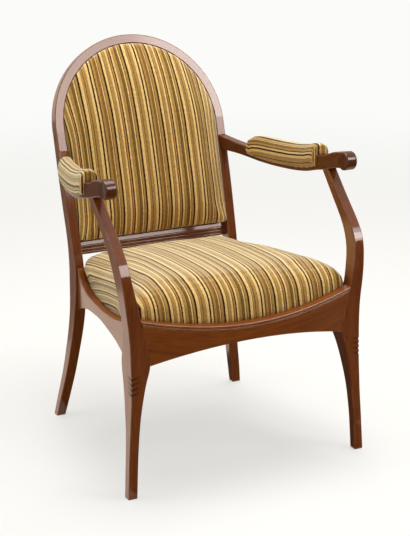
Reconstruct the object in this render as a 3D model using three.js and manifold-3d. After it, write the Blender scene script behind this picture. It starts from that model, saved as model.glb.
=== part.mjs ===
// An upholstered open armchair: bowed and scooped seat rails, arm posts that run up from the
// front legs, stiles that grow into a round arch, a sprung seat, a padded back and padded arms.
// Millimetres. x runs across the chair, y from the front to the back, z up from the floor.

import * as THREE from 'three';
import { mergeVertices } from 'three/addons/utils/BufferGeometryUtils.js';
import Module from 'manifold-3d';

const wasm = await Module();
wasm.setup();

// Room between pieces that meet, and the run of a cut past the face that it opens
const fit = 0.3;
const overrun = 6;

// Heights hang on the top of the rails' ends beside the front posts. The chair comes out 950 high.
const railEndHeight = 418;
const railEndDepth = 106;
const elbowRise = 112;
const armRise = 282;
const armSeatDrop = 36;
const springRise = 32.4;
const kneeHeight = railEndHeight - railEndDepth;
const elbowHeight = railEndHeight + elbowRise;
const rollHeight = railEndHeight + armRise;
const armSeatHeight = rollHeight - armSeatDrop;
const springHeight = rollHeight + springRise;

// Front legs: the foot, the knee under the rails, the seat, the elbow and the arm
const frontSeatSpan = 612;
const frontFootSplay = 18;
const frontKneePinch = 12;
const elbowSplay = 19;
const armPostSplay = 27;
const frontFootWidth = 22.5;
const kneeWidth = 50;
const seatPostWidth = 33;
const elbowWidth = 24.5;
const armPostWidth = 24;
const rollSetback = 96;
const kneeSetback = 9;
const seatSetback = 11;
const elbowSetback = 27;
const armPostSetIn = 54;
const armPostSetback = rollSetback + armPostSetIn;
const frontFootDepth = 21;
const kneeDepth = 53;
const seatPostDepth = 32;
const elbowDepth = 43;
const armPostDepth = 31;

// Rear legs: the foot, the knee, the seat, the waist of the stile and the springing of the arch
const backSpan = 468;
const rearFootSplay = 72;
const rearSeatPinch = 8;
const waistPinch = 4;
const rearKneeDrop = 12;
const rearSeatDrop = 18;
const waistRise = 62;
const rearFootWidth = 23.5;
const rearKneeWidth = 31;
const rearSeatWidth = 24;
const waistWidth = 25;
const rearSeatSetback = 484;
const rearFootSetIn = 52;
const rearKneeSetIn = 3;
const waistSetIn = 19;
const crestSetIn = 90;
const rearFootDepth = 20.5;
const rearKneeDepth = 31;
const rearSeatDepth = 41;
const waistDepth = 28;
const rearKneeHeight = kneeHeight - rearKneeDrop;
const rearSeatHeight = railEndHeight - rearSeatDrop;
const waistHeight = railEndHeight + waistRise;
const rearSeatSpan = backSpan - rearSeatPinch;
const springSetback = rearSeatSetback + crestSetIn;

// Crest arch
const crestTilt = THREE.MathUtils.degToRad(21.6);
const archWidth = 23;
const archThickness = 26;
const backHalf = backSpan / 2;
const stileTopDepth = archThickness / Math.cos(crestTilt);
const chairHeight = springHeight + backHalf * Math.cos(crestTilt);

// Seat rails
const frontRailDip = 39;
const frontRailMiddleDepth = 41;
const frontRailBow = 22;
const frontRailInnerFace = 42;
const frontLedge = 22;
const sideRailDip = 55;
const sideRailArch = 41;
const sideRailInset = 6;
const sideLedge = 20;
const sideRailThickness = 30;
const rearRailSetIn = 13;
const rearRailThickness = 25;
const rearRailDrop = 8;
const rearRailArch = 45;
const tackingStepDrop = 11;
const apronThickness = 14;
const beadRadius = 3.6;
const beadProud = 2;
const frontRailMiddleTop = railEndHeight - frontRailDip;
const frontRailMiddleBottom = frontRailMiddleTop - frontRailMiddleDepth;
const rearRailFront = rearSeatSetback + rearRailSetIn;
const rearRailTop = rearSeatHeight - rearRailDrop;
const rearRailMiddleBottom = rearKneeHeight + rearRailArch;

// Tenons
const tenonThickness = 9;
const tenonLength = 19;
const tenonHeight = 44;
const tenonInset = 5;
const sideTenonShare = 0.7;
const rearTenonShare = 0.8;

// Lower back rail
const backRailRise = 13;
const backRailHeight = 37;
const backRailThickness = 15;
const backRailSetback = 19;
const fluteWidth = 5.4;
const fluteDepth = 2.2;
const fluteCount = 3;
const fluteStartShare = 0.5;
const flutePitchShare = 1.35;
const backRailBottom = railEndHeight + backRailRise;

// Arms
const armSplay = 41;
const armWidth = 33.5;
const rollRadius = 22;
const rollProud = 1.5;
const armDrop = 46.5;
const armThickness = 33;
const armShowWood = 10;
const coverInset = 3.5;
const armSpan = frontSeatSpan + armSplay;

// Carved notches on the outer front corner of each front knee
const notchCount = 4;
const notchPitch = 11.5;
const notchDrop = 28;
const notchWidth = 4.5;
const notchReach = 15;
const notchTopHeight = kneeHeight - notchDrop;

// Upholstery
const seatRise = 55;
const seatRearFall = 31;
const seatCrossCrown = 6;
const seatLift = 20;
const seatSkirt = 7;
const seatBaseRise = 7;
const seatGap = 1.5;
const seatCornerRadius = 14;
const seatWallShare = 0.38;
const hessianThickness = 1.5;
const backCrown = 30;
const backWallShare = 0.6;
const backGap = 0.6;
const backSinkDepth = 9;
const backPanelThickness = 2;
const backPanelSetback = 17;
const padBulge = 7;
const padCrown = 34;
const seatTopHeight = railEndHeight + seatRise;
const seatMiddleBase = frontRailMiddleTop + seatBaseRise;

// Webbing and springs
const webbingRise = 8;
const webbingWidth = 50;
const webbingThickness = 1.8;
const dustCoverThickness = 1;
const springWire = 3.4;
const springRadius = 36;
const springTurns = 4;
const springWaistShare = 0.28;
const webbingHeight = frontRailMiddleBottom + webbingRise;

// Corner blocks, dowels and screws
const cornerBlockReach = 58;
const cornerBlockHeight = 26;
const dowelRadius = 4.5;
const dowelLength = 46;
const dowelTopShare = 0.8;
const screwRadius = 2.5;
const screwHeadRadius = 4.8;
const screwHeadLength = 3.2;
const rearBlockHeight = 18;
const rearBlockSideReach = 22;
const cornerScrewLength = 62;
const rearScrewLength = 38;
const armScrewLength = 62;
const armScrewShare = 0.95;

// Materials
const showWood = new THREE.MeshStandardMaterial({ color: '#5f2f1a', roughness: 0.34, metalness: 0 });
const railWood = new THREE.MeshStandardMaterial({ color: '#7a401f', roughness: 0.36, metalness: 0 });
const bareWood = new THREE.MeshStandardMaterial({ color: '#b89468', roughness: 0.75, metalness: 0 });
const stripe = new THREE.MeshStandardMaterial({ color: '#bf9a5e', roughness: 0.92, metalness: 0 });
const jute = new THREE.MeshStandardMaterial({ color: '#a08357', roughness: 0.95, metalness: 0 });
const blackCloth = new THREE.MeshStandardMaterial({ color: '#24211f', roughness: 0.95, metalness: 0 });
const steel = new THREE.MeshStandardMaterial({ color: '#8d8f92', roughness: 0.4, metalness: 0.9 });

const chair = new THREE.Group();
chair.name = 'armchair';

function addPiece(name, geometry, material) {
  geometry.computeVertexNormals();
  const mesh = new THREE.Mesh(geometry, material);
  mesh.name = name;
  chair.add(mesh);
}

function mirrored(geometry) {
  const copy = geometry.clone().scale(-1, 1, 1);
  flip(copy);
  return copy;
}

// The sitter's left is at +x
function addPair(name, geometry, material) {
  addPiece(`${name}_left`, geometry, material);
  addPiece(`${name}_right`, mirrored(geometry), material);
}

function flip(geometry) {
  const index = geometry.index.array;
  for (let i = 0; i < index.length; i += 3) {
    [index[i], index[i + 1]] = [index[i + 1], index[i]];
  }
}

function signedVolume(geometry) {
  const corner = [new THREE.Vector3(), new THREE.Vector3(), new THREE.Vector3()];
  let total = 0;
  for (let i = 0; i < geometry.index.count; i += 3) {
    corner.forEach((point, k) => {
      point.fromBufferAttribute(geometry.attributes.position, geometry.index.getX(i + k));
    });
    total += corner[0].dot(corner[1].cross(corner[2]));
  }
  return total;
}

function geometryFrom(points, triangles) {
  const geometry = new THREE.BufferGeometry();
  geometry.setAttribute('position', new THREE.BufferAttribute(new Float32Array(points.flat()), 3));
  geometry.setIndex(new THREE.BufferAttribute(new Uint32Array(triangles.flat()), 1));
  if (signedVolume(geometry) < 0) flip(geometry);
  return geometry;
}

function toSolid(geometry) {
  const bare = geometry.clone();
  bare.deleteAttribute('normal');
  bare.deleteAttribute('uv');
  const merged = mergeVertices(bare);
  const vertProperties = new Float32Array(merged.attributes.position.array);
  const triVerts = new Uint32Array(merged.index.array);
  return new wasm.Manifold(new wasm.Mesh({ numProp: 3, vertProperties, triVerts }));
}

function fromSolid(solid) {
  const mesh = solid.getMesh();
  const geometry = new THREE.BufferGeometry();
  const positions = [];
  for (let i = 0; i < mesh.vertProperties.length; i += mesh.numProp) {
    positions.push(...mesh.vertProperties.slice(i, i + 3));
  }
  geometry.setAttribute('position', new THREE.BufferAttribute(new Float32Array(positions), 3));
  geometry.setIndex(new THREE.BufferAttribute(new Uint32Array(mesh.triVerts), 1));
  return geometry;
}

// Linear walk along a list: step 1.25 lies a quarter of the way from its second to its third value
function between(list, step) {
  const start = Math.min(Math.floor(step), list.length - 2);
  return list[start] + (list[start + 1] - list[start]) * (step - start);
}

// Smooth curve through rows of [place, value, value, ...] that never swings past its points
function smoothAt(rows, column, place) {
  const secant = rows.slice(1).map((row, i) => (row[column] - rows[i][column]) / (row[0] - rows[i][0]));
  const slope = rows.map((row, i) => {
    if (i === 0) return secant[0];
    if (i === rows.length - 1) return secant[i - 1];
    const product = secant[i - 1] * secant[i];
    return product <= 0 ? 0 : (2 * product) / (secant[i - 1] + secant[i]);
  });
  const last = rows.length - 1;
  if (place <= rows[0][0]) return rows[0][column] + slope[0] * (place - rows[0][0]);
  if (place >= rows[last][0]) return rows[last][column] + slope[last] * (place - rows[last][0]);
  const i = rows.findIndex((row) => row[0] > place) - 1;
  const length = rows[i + 1][0] - rows[i][0];
  const t = (place - rows[i][0]) / length;
  const startPart = rows[i][column] * (1 + 2 * t) * (1 - t) ** 2;
  const endPart = rows[i + 1][column] * t * t * (3 - 2 * t);
  const bend = length * t * (1 - t) * (slope[i] * (1 - t) - slope[i + 1] * t);
  return startPart + endPart + bend;
}

function evenly(start, end, count) {
  return Array.from({ length: count + 1 }, (_, i) => start + ((end - start) * i) / count);
}

// A bar whose section changes along one axis; section gives its points in the two other axes
function bar(axis, stations, section) {
  const place = {
    x: (at, [a, b]) => [at, a, b],
    y: (at, [a, b]) => [a, at, b],
    z: (at, [a, b]) => [a, b, at],
  }[axis];
  const outlines = stations.map(section);
  const count = outlines[0].length;
  const points = stations.flatMap((at, i) => outlines[i].map((point) => place(at, point)));
  const triangles = [];
  for (let i = 0; i < stations.length - 1; i += 1) {
    for (let k = 0; k < count; k += 1) {
      const a = i * count + k;
      const b = i * count + ((k + 1) % count);
      triangles.push([a, b, b + count], [a, b + count, a + count]);
    }
  }
  const end = (stations.length - 1) * count;
  for (const [a, b, c] of capAlong(outlines[0])) triangles.push([c, b, a]);
  for (const [a, b, c] of capAlong(outlines.at(-1))) triangles.push([a + end, b + end, c + end]);
  return geometryFrom(points, triangles);
}

// Triangles that fill an outline, wound the way that the outline runs
function capAlong(outline) {
  const shape = outline.map(([a, b]) => new THREE.Vector2(a, b));
  const clockwise = THREE.ShapeUtils.isClockWise(shape);
  return THREE.ShapeUtils.triangulateShape(shape, []).map((triangle) => {
    const corners = triangle.map((k) => shape[k]);
    return THREE.ShapeUtils.isClockWise(corners) === clockwise ? triangle : [...triangle].reverse();
  });
}

function rectangle(a0, a1, b0, b1) {
  return [[a0, b0], [a1, b0], [a1, b1], [a0, b1]];
}

function block(x0, x1, y0, y1, z0, z1) {
  return new THREE.BoxGeometry(x1 - x0, y1 - y0, z1 - z0)
    .translate((x0 + x1) / 2, (y0 + y1) / 2, (z0 + z1) / 2);
}

// A round bar from one point to another
function rod(radius, start, end, sides = 16) {
  const along = new THREE.Vector3().subVectors(end, start);
  const upright = new THREE.Vector3(0, 1, 0);
  const turn = new THREE.Quaternion().setFromUnitVectors(upright, along.clone().normalize());
  const middle = new THREE.Vector3().addVectors(start, end).multiplyScalar(0.5);
  return new THREE.CylinderGeometry(radius, radius, along.length(), sides)
    .applyQuaternion(turn)
    .translate(middle.x, middle.y, middle.z);
}

// Legs. Each row steps through the levels: height, half span, width, setback and depth.
const frontLegLevels = [
  [0, kneeHeight, railEndHeight, elbowHeight, armSeatHeight],
  [frontFootSplay, -frontKneePinch, 0, elbowSplay, armPostSplay].map((splay) => (frontSeatSpan + splay) / 2),
  [frontFootWidth, kneeWidth, seatPostWidth, elbowWidth, armPostWidth],
  [0, kneeSetback, seatSetback, elbowSetback, armPostSetback],
  [frontFootDepth, kneeDepth, seatPostDepth, elbowDepth, armPostDepth],
];
const frontLegShares = [
  [0, 0, 0, 0, 0],
  [0.26, 0.29, 0, 0.34, 0.02],
  [0.51, 0.65, 0.04, 0.64, 0.16],
  [0.64, 0.8, 0.13, 0.7, 0.4],
  [0.77, 0.95, 0.31, 0.75, 0.62],
  [0.9, 1, 0.62, 0.83, 0.86],
  [1, 1, 1, 1, 1],
  [1.36, 1.13, 1.41, 1.75, 1.52],
  [1.69, 1.38, 1.76, 2, 1.79],
  [2, 2, 2, 2, 2],
  [2.38, 2.47, 2.41, 2.13, 2.27],
  [2.73, 2.83, 2.82, 2.5, 2.55],
  [3, 3, 3, 3, 3],
  [3.22, 3.12, 3.5, 3.17, 3.25],
  [3.52, 3.3, 3.8, 3.5, 3.67],
  [3.82, 3.6, 3.9, 3.83, 3.96],
  [4, 4, 4, 4, 4],
];
const rearLegLevels = [
  [0, rearKneeHeight, rearSeatHeight, waistHeight, springHeight],
  [rearFootSplay, 0, -rearSeatPinch, -waistPinch, 0].map((splay) => (backSpan + splay) / 2),
  [rearFootWidth, rearKneeWidth, rearSeatWidth, waistWidth, archWidth],
  [rearFootSetIn, rearKneeSetIn, 0, waistSetIn, crestSetIn].map((setIn) => rearSeatSetback + setIn),
  [rearFootDepth, rearKneeDepth, rearSeatDepth, waistDepth, stileTopDepth],
];
const rearLegShares = [
  [0, 0, 0, 0, 0],
  [0.2, 0.26, 0.33, 0.22, 0.14],
  [0.4, 0.56, 0.4, 0.43, 0.38],
  [0.6, 0.75, 0.53, 0.66, 0.67],
  [0.8, 0.9, 0.8, 0.87, 0.81],
  [1, 1, 1, 1, 1],
  [1.5, 1.75, 1.71, 1.9, 1.85],
  [2, 2, 2, 2, 2],
  [2.5, 2.5, 2.5, 2.42, 2.5],
  [3, 3, 3, 3, 3],
  [3.32, 3.8, 3.1, 3.31, 3.3],
  [3.63, 4, 3.4, 3.62, 3.6],
  [3.87, 4, 3.8, 3.86, 3.9],
  [4, 4, 4, 4, 4],
];

function legRows(levels, shares) {
  return shares.map((row) => row.map((step, column) => between(levels[column], step)));
}
const frontLegRows = legRows(frontLegLevels, frontLegShares);
const rearLegRows = legRows(rearLegLevels, rearLegShares);

function legAt(rows, height) {
  const outer = smoothAt(rows, 1, height);
  const front = smoothAt(rows, 3, height);
  return {
    outer,
    inner: outer - smoothAt(rows, 2, height),
    front,
    rear: front + smoothAt(rows, 4, height),
  };
}

// Middle of a leg's section
function legMiddle(leg) {
  return new THREE.Vector3((leg.inner + leg.outer) / 2, (leg.front + leg.rear) / 2, 0);
}

function legBar(rows, top, growX, growY) {
  const steps = rows.length * 2;
  return bar('z', evenly(0, top, steps), (height) => {
    const leg = legAt(rows, height);
    return rectangle(leg.inner - growX, leg.outer + growX, leg.front - growY, leg.rear + growY);
  });
}

const postTop = armSeatHeight + overrun * 3;
const stileTop = springHeight + overrun * 4;
const frontLegAcross = toSolid(legBar(frontLegRows, postTop, fit, overrun * 2));
const frontLegAlong = toSolid(legBar(frontLegRows, postTop, overrun * 2, fit));
const rearLegAcross = toSolid(legBar(rearLegRows, stileTop, fit, overrun * 2));
const rearLegAlong = toSolid(legBar(rearLegRows, stileTop, overrun * 3, fit));

function bothSides(solid) {
  return solid.add(toSolid(mirrored(fromSolid(solid))));
}

// Crest plane: leans back from the springing, its own upward and backward directions
const crestUp = new THREE.Vector3(0, Math.sin(crestTilt), Math.cos(crestTilt));
const crestBack = new THREE.Vector3(0, Math.cos(crestTilt), -Math.sin(crestTilt));
const springPoint = new THREE.Vector3(0, springSetback, springHeight);

function onCrest(geometry) {
  const turn = new THREE.Matrix4().makeBasis(new THREE.Vector3(-1, 0, 0), crestUp, crestBack);
  return geometry.applyMatrix4(turn).translate(springPoint.x, springPoint.y, springPoint.z);
}

// Front face of the stiles and the arch at a height
function backFrontAt(height) {
  if (height > springHeight) return springSetback + (height - springHeight) * Math.tan(crestTilt);
  return legAt(rearLegRows, height).front;
}

function crestArch() {
  const outline = new THREE.Shape();
  outline.absarc(0, 0, backHalf, 0, Math.PI, false);
  outline.absarc(0, 0, backHalf - archWidth, Math.PI, 0, true);
  return new THREE.ExtrudeGeometry(outline, { depth: archThickness, bevelEnabled: false, curveSegments: 40 });
}

function onCrestPoint(x, up, back) {
  return springPoint.clone().addScaledVector(new THREE.Vector3(1, 0, 0), x)
    .addScaledVector(crestUp, up).addScaledVector(crestBack, back);
}

// Seat rails
const frontRailEnd = legAt(frontLegRows, railEndHeight).inner;
const frontKneeInner = legAt(frontLegRows, kneeHeight).inner;
const frontRailEndFront = seatSetback + fit;

function frontRailFrontAt(x) {
  return frontRailEndFront - frontRailBow * (1 - (x / frontRailEnd) ** 2);
}

function frontRailTopAt(x) {
  return frontRailMiddleTop + (railEndHeight - frontRailMiddleTop) * (x / frontRailEnd) ** 2;
}

function frontRailBottomAt(x) {
  return frontRailMiddleBottom - (frontRailMiddleBottom - kneeHeight) * (x / frontKneeInner) ** 2;
}

// Two rounds along the top of the front rail, as points down from the top edge
function beadOutline(front, top) {
  const points = [];
  let height = top;
  for (const radius of [beadRadius, beadRadius / 2]) {
    for (const turn of evenly(0, Math.PI, 4)) {
      const proud = (beadProud * radius * Math.sin(turn)) / beadRadius;
      points.push([front - proud, height - radius * (1 - Math.cos(turn))]);
    }
    height -= radius * 2 + fit;
  }
  return points.reverse();
}

function frontRailSection(x) {
  const front = frontRailFrontAt(x);
  const top = frontRailTopAt(x);
  const bottom = frontRailBottomAt(x);
  const underside = Math.max(webbingHeight, bottom + fit);
  return [
    [front + apronThickness, bottom],
    [front, bottom],
    ...beadOutline(front, top),
    [front + frontLedge, top],
    [front + frontLedge, top - tackingStepDrop],
    [frontRailInnerFace, top - tackingStepDrop],
    [frontRailInnerFace, underside],
    [front + apronThickness, underside],
  ];
}

function boxTenon(x0, x1, y0, y1, z0, z1, room) {
  return toSolid(block(x0 - room, x1 + room, y0 - room, y1 + room, z0 - room, z1 + room));
}

const frontTenonBottom = kneeHeight + tenonInset * 6;
const frontTenonTop = frontTenonBottom + tenonHeight;
const frontTenonFront = seatSetback + tenonInset;
const frontTenonTip = legAt(frontLegRows, frontTenonTop).inner + tenonLength;

function frontTenon(room) {
  const start = frontKneeInner - tenonLength;
  return boxTenon(start, frontTenonTip, frontTenonFront, frontTenonFront + tenonThickness,
    frontTenonBottom, frontTenonTop, room);
}

// A side rail runs from the back of the front leg to the front of the rear leg, set in from both
const sideRailFrontY = legAt(frontLegRows, railEndHeight).rear;
const sideRailRearY = rearSeatSetback;
const sideRailFrontX = legAt(frontLegRows, (kneeHeight + railEndHeight) / 2).outer - sideRailInset;
const sideRailRearX = rearSeatSpan / 2 - sideRailInset;
const sideRailSlope = (sideRailRearX - sideRailFrontX) / (sideRailRearY - sideRailFrontY);

function sideRailOuterAt(y) {
  return sideRailFrontX + (y - sideRailFrontY) * sideRailSlope;
}

// Rows of share from front to rear, fall of the top edge and rise of the bottom edge
const sideRailShares = [
  [0, 0.13, 0.3],
  [0.07, 0.31, 0.7],
  [0.25, 0.66, 0.92],
  [0.5, 0.92, 1],
  [0.65, 0.98, 0.86],
  [0.78, 1, 0.68],
  [0.88, 0.89, 0.4],
  [0.95, 0.75, 0.15],
  [0.975, 0.55, 0.07],
  [1, 0.22, 0],
];

function sideRailHeights(y) {
  const share = (y - sideRailFrontY) / (sideRailRearY - sideRailFrontY);
  return {
    top: railEndHeight - sideRailDip * smoothAt(sideRailShares, 1, share),
    bottom: rearKneeHeight + sideRailArch * smoothAt(sideRailShares, 2, share),
  };
}

const crossWebbingHeight = webbingHeight - webbingThickness - fit;

function sideRailSection(y) {
  const outer = sideRailOuterAt(y);
  const { top, bottom } = sideRailHeights(y);
  const underside = Math.max(crossWebbingHeight, bottom + fit);
  return [
    [outer - apronThickness, bottom],
    [outer, bottom],
    [outer, top],
    [outer - sideLedge, top],
    [outer - sideLedge, top - tackingStepDrop],
    [outer - sideRailThickness, top - tackingStepDrop],
    [outer - sideRailThickness, underside],
    [outer - apronThickness, underside],
  ];
}

// Tenon of a side rail, straight ahead from the middle of the rail's end
function sideTenon(y0, y1, room) {
  const middle = sideRailOuterAt((y0 + y1) / 2) - sideLedge / 2;
  const bottom = crossWebbingHeight + tenonInset;
  return boxTenon(middle - tenonThickness / 2, middle + tenonThickness / 2, y0, y1,
    bottom, bottom + tenonHeight * sideTenonShare, room);
}

function rearRailSection(x) {
  const bottom = rearRailMiddleBottom - rearRailArch * (x / backHalf) ** 2;
  const underside = Math.max(webbingHeight, bottom + fit);
  const rear = rearRailFront + rearRailThickness;
  return [
    [rearRailFront, underside],
    [rearRailFront, rearRailTop],
    [rear, rearRailTop],
    [rear, bottom],
    [rear - apronThickness, bottom],
    [rear - apronThickness, underside],
  ];
}

const rearTenonRear = rearRailFront + rearRailThickness - tenonInset;
const rearTenonTip = rearSeatSpan / 2 - tenonInset;

function rearTenon(room) {
  const bottom = webbingHeight + tenonInset;
  const start = rearTenonTip - tenonLength * 2;
  return boxTenon(start, rearTenonTip, rearTenonRear - tenonThickness, rearTenonRear,
    bottom, bottom + tenonHeight * rearTenonShare, room);
}

const frontTenonRun = sideRailFrontY + overrun * 2;
const frontTenonMouth = sideRailFrontY - tenonLength * sideTenonShare;
const rearTenonRun = sideRailRearY - overrun * 2;
const rearTenonMouth = sideRailRearY + tenonLength;

// Arms run from the roll to the stile. Rows: share of the way, spread, width, drop and thickness.
const stileFaceAtArm = backFrontAt(rollHeight - armThickness);
const armRun = stileFaceAtArm - rollSetback;
const armShares = [
  [0, 0.962, 0.82, 0, 1.14],
  [0.075, 0.965, 0.85, 0.06, 1.2],
  [0.13, 0.965, 0.9, 0.25, 1.17],
  [0.184, 0.945, 0.88, 0.42, 1.08],
  [0.24, 0.93, 0.88, 0.52, 1.13],
  [0.334, 0.885, 0.9, 0.8, 1.03],
  [0.47, 0.79, 0.88, 0.957, 1],
  [0.57, 0.69, 0.84, 0.99, 1],
  [0.62, 0.645, 0.82, 1, 1],
  [0.725, 0.52, 0.79, 0.968, 0.96],
  [0.8, 0.39, 0.76, 0.9, 0.86],
  [0.863, 0.28, 0.75, 0.83, 0.83],
  [0.92, 0.155, 0.71, 0.755, 0.91],
  [1, 0, 0.64, 0.656, 1.12],
];

function armAt(y) {
  const share = (y - rollSetback) / armRun;
  const spread = smoothAt(armShares, 1, share);
  const outer = backHalf + (armSpan / 2 - backHalf) * spread;
  const middle = rollHeight - armDrop * smoothAt(armShares, 3, share);
  const thickness = armThickness * smoothAt(armShares, 4, share);
  return {
    outer,
    inner: outer - armWidth * smoothAt(armShares, 2, share),
    bottom: middle - thickness / 2,
    top: middle + thickness / 2,
  };
}

function armBar() {
  const stations = evenly(rollSetback, stileFaceAtArm + overrun * 2, 30);
  return bar('y', stations, (y) => {
    const arm = armAt(y);
    return rectangle(arm.inner, arm.outer, arm.bottom, arm.top);
  });
}

// Room for the arm over an arm post, and all that lies above it
function aboveArm() {
  const stations = evenly(rollSetback, stileFaceAtArm, 30);
  return bar('y', stations, (y) => {
    const arm = armAt(y);
    return rectangle(arm.inner - armWidth, arm.outer + armWidth, arm.bottom - fit, arm.top + armWidth);
  });
}

function roll() {
  const arm = armAt(rollSetback);
  const start = new THREE.Vector3(arm.inner - rollProud, rollSetback, rollHeight);
  const end = new THREE.Vector3(arm.outer + rollProud, rollSetback, rollHeight);
  return rod(rollRadius, start, end, 32);
}

// Arm pad: a padded loaf over a narrower core of the arm, from the block behind the roll to a
// place short of the stile. Its crown has rows of share from front to rear and crown, and its
// round has rows of share of the half width and share of the crown below the top.
const padFrontShare = 0.235;
const padRearShare = 0.795;
const padCrownShares = [
  [0, 0.72],
  [0.04, 0.88],
  [0.12, 0.97],
  [0.3, 1],
  [0.6, 1],
  [0.85, 0.97],
  [0.95, 0.84],
  [1, 0.58],
];

const padFootShare = 0.9;
const padRoundShares = [
  [0.96, 0.7],
  [0.72, 0.22],
  [0.36, 0.04],
  [0, 0],
];

function padSection(y, room) {
  const arm = armAt(y);
  const start = rollSetback + armRun * padFrontShare;
  const end = rollSetback + armRun * padRearShare;
  const share = (y - start) / (end - start);
  const crown = padCrown * smoothAt(padCrownShares, 1, Math.min(Math.max(share, 0), 1));
  const middle = (arm.inner + arm.outer) / 2;
  const half = (arm.outer - arm.inner) / 2 + padBulge + room;
  const bottom = arm.bottom + armShowWood - room;
  const top = arm.top + crown + room;
  const round = padRoundShares.map(([width, fall]) => [half * width, top - crown * fall]);
  const side = [[half * padFootShare, bottom], [half, (bottom + round[0][1]) / 2], ...round];
  const right = side.map(([across, height]) => [middle + across, height]);
  const left = side.slice(0, -1).reverse().map(([across, height]) => [middle - across, height]);
  return [...right, ...left];
}

function padBar(room) {
  const start = rollSetback + armRun * padFrontShare;
  const end = rollSetback + armRun * padRearShare;
  const stations = [start - room, ...evenly(start, end, 18).slice(1, -1), end + room];
  return bar('y', stations, (y) => padSection(y, room));
}

function padCore(room) {
  const start = rollSetback + armRun * padFrontShare - overrun;
  const end = rollSetback + armRun * padRearShare + overrun;
  return bar('y', evenly(start, end, 18), (y) => {
    const arm = armAt(y);
    return rectangle(arm.inner + coverInset - room, arm.outer - coverInset + room,
      arm.bottom + armShowWood / 2 - room, arm.top + room);
  });
}

// Wedge cut across the outer front corner of a knee
function kneeNotch(height) {
  const leg = legAt(frontLegRows, height);
  const corner = new THREE.Vector3(leg.outer, leg.front, height);
  const wedge = new THREE.CylinderGeometry(notchWidth / 2, notchWidth / 2, notchReach * 2, 4);
  wedge.rotateZ(Math.PI / 2).rotateZ(Math.PI / 4);
  return wedge.translate(corner.x, corner.y, corner.z);
}

// Upholstery. An outline is a list of [x, y] points; a pillow stacks shrinking copies of it.
function edgeShareOf(outline, centre, x, y) {
  const direction = [x - centre[0], y - centre[1]];
  let nearest = Infinity;
  outline.forEach(([ax, ay], i) => {
    const [bx, by] = outline[(i + 1) % outline.length];
    const [ex, ey] = [bx - ax, by - ay];
    const cross = direction[0] * ey - direction[1] * ex;
    const along = ((ax - centre[0]) * ey - (ay - centre[1]) * ex) / cross;
    const across = ((ax - centre[0]) * direction[1] - (ay - centre[1]) * direction[0]) / cross;
    if (along > 0 && across >= 0 && across <= 1) nearest = Math.min(nearest, along);
  });
  return 1 / nearest;
}

// Upper rings run from the edge to the middle, lower rings back out again
function pillow(outline, centre, upperShares, lowerShares, upper, lower) {
  const points = [];
  const triangles = [];
  const count = outline.length;
  const ring = (share, surface) => outline.forEach((edge) => points.push(surface(edge, share)));
  upperShares.forEach((share) => ring(share, upper));
  lowerShares.forEach((share) => ring(share, lower));
  const rings = upperShares.length + lowerShares.length;
  const band = (outer, inner, facesUp) => {
    for (let k = 0; k < count; k += 1) {
      const next = (k + 1) % count;
      const [a, b] = [inner * count + k, inner * count + next];
      const [c, d] = [outer * count + next, outer * count + k];
      triangles.push(...(facesUp ? [[a, b, c], [a, c, d]] : [[a, c, b], [a, d, c]]));
    }
  };
  for (let i = 1; i < upperShares.length; i += 1) band(i - 1, i, true);
  for (let i = upperShares.length + 1; i < rings; i += 1) band(i - 1, i, false);
  band(upperShares.length, 0, true);
  const top = points.push(upper(centre, 0)) - 1;
  const bottom = points.push(lower(centre, 0)) - 1;
  const innerTop = (upperShares.length - 1) * count;
  const innerBottom = (rings - 1) * count;
  for (let k = 0; k < count; k += 1) {
    const next = (k + 1) % count;
    triangles.push([top, innerTop + next, innerTop + k]);
    triangles.push([bottom, innerBottom + k, innerBottom + next]);
  }
  return geometryFrom(points, triangles);
}

function seatOutline(gap) {
  const points = [];
  const frontX = legAt(frontLegRows, railEndHeight - tackingStepDrop * 2).inner - seatGap - gap;
  for (const share of evenly(-1, 1, 16)) {
    const x = frontX * share;
    points.push([x, frontRailFrontAt(x) + frontLedge + gap]);
  }
  const legRear = legAt(frontLegRows, railEndHeight - tackingStepDrop * 2).rear + seatGap;
  points.push([frontX, legRear]);
  const sideStart = legRear + overrun;
  const stileFace = backFrontAt(rearRailTop) - seatGap;
  const rearReach = Math.min(rearSeatSpan / 2 - rearSeatWidth, sideRailOuterAt(stileFace) - sideLedge);
  const rearX = rearReach - seatGap * 2 - gap;
  const rearY = rearRailFront + rearRailThickness / 2 - gap;
  const sidePoint = (y) => [sideRailOuterAt(y) - sideLedge - gap, y];
  const side = evenly(sideStart, stileFace - seatCornerRadius, 10).map(sidePoint);
  const rearCornerPoints = [
    [rearX, stileFace],
    [rearX, rearY - seatCornerRadius],
    [rearX - seatCornerRadius, rearY],
  ];
  points.push(...side, ...rearCornerPoints);
  points.push(...evenly(1, -1, 8).slice(1, -1).map((share) => [(rearX - seatCornerRadius) * share, rearY]));
  points.push(...rearCornerPoints.reverse().map(([x, y]) => [-x, y]));
  points.push(...side.reverse().map(([x, y]) => [-x, y]), [-frontX, legRear]);
  return points;
}

const seatCentre = [0, (frontRailInnerFace + rearRailFront) / 2];

// Height of the rails' ledge beside a point of the seat's edge
function ledgeHeightAt([x, y]) {
  const front = frontRailTopAt(Math.min(Math.abs(x), frontRailEnd));
  if (y < sideRailFrontY) return front;
  const side = sideRailHeights(Math.min(y, sideRailRearY)).top;
  if (y <= sideRailRearY) return side;
  return rearRailTop + tackingStepDrop;
}

function seatPoint(outline, edge, share) {
  return [edge[0] * share + seatCentre[0] * (1 - share), edge[1] * share + seatCentre[1] * (1 - share)];
}

function seatBase(edge, share) {
  return share === 0 ? seatMiddleBase : ledgeHeightAt(edge) * share ** 2 + seatMiddleBase * (1 - share ** 2);
}

function seatUnderside(edge, share) {
  return seatBase(edge, share) - seatSkirt + seatLift * (1 - share ** 2);
}

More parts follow.
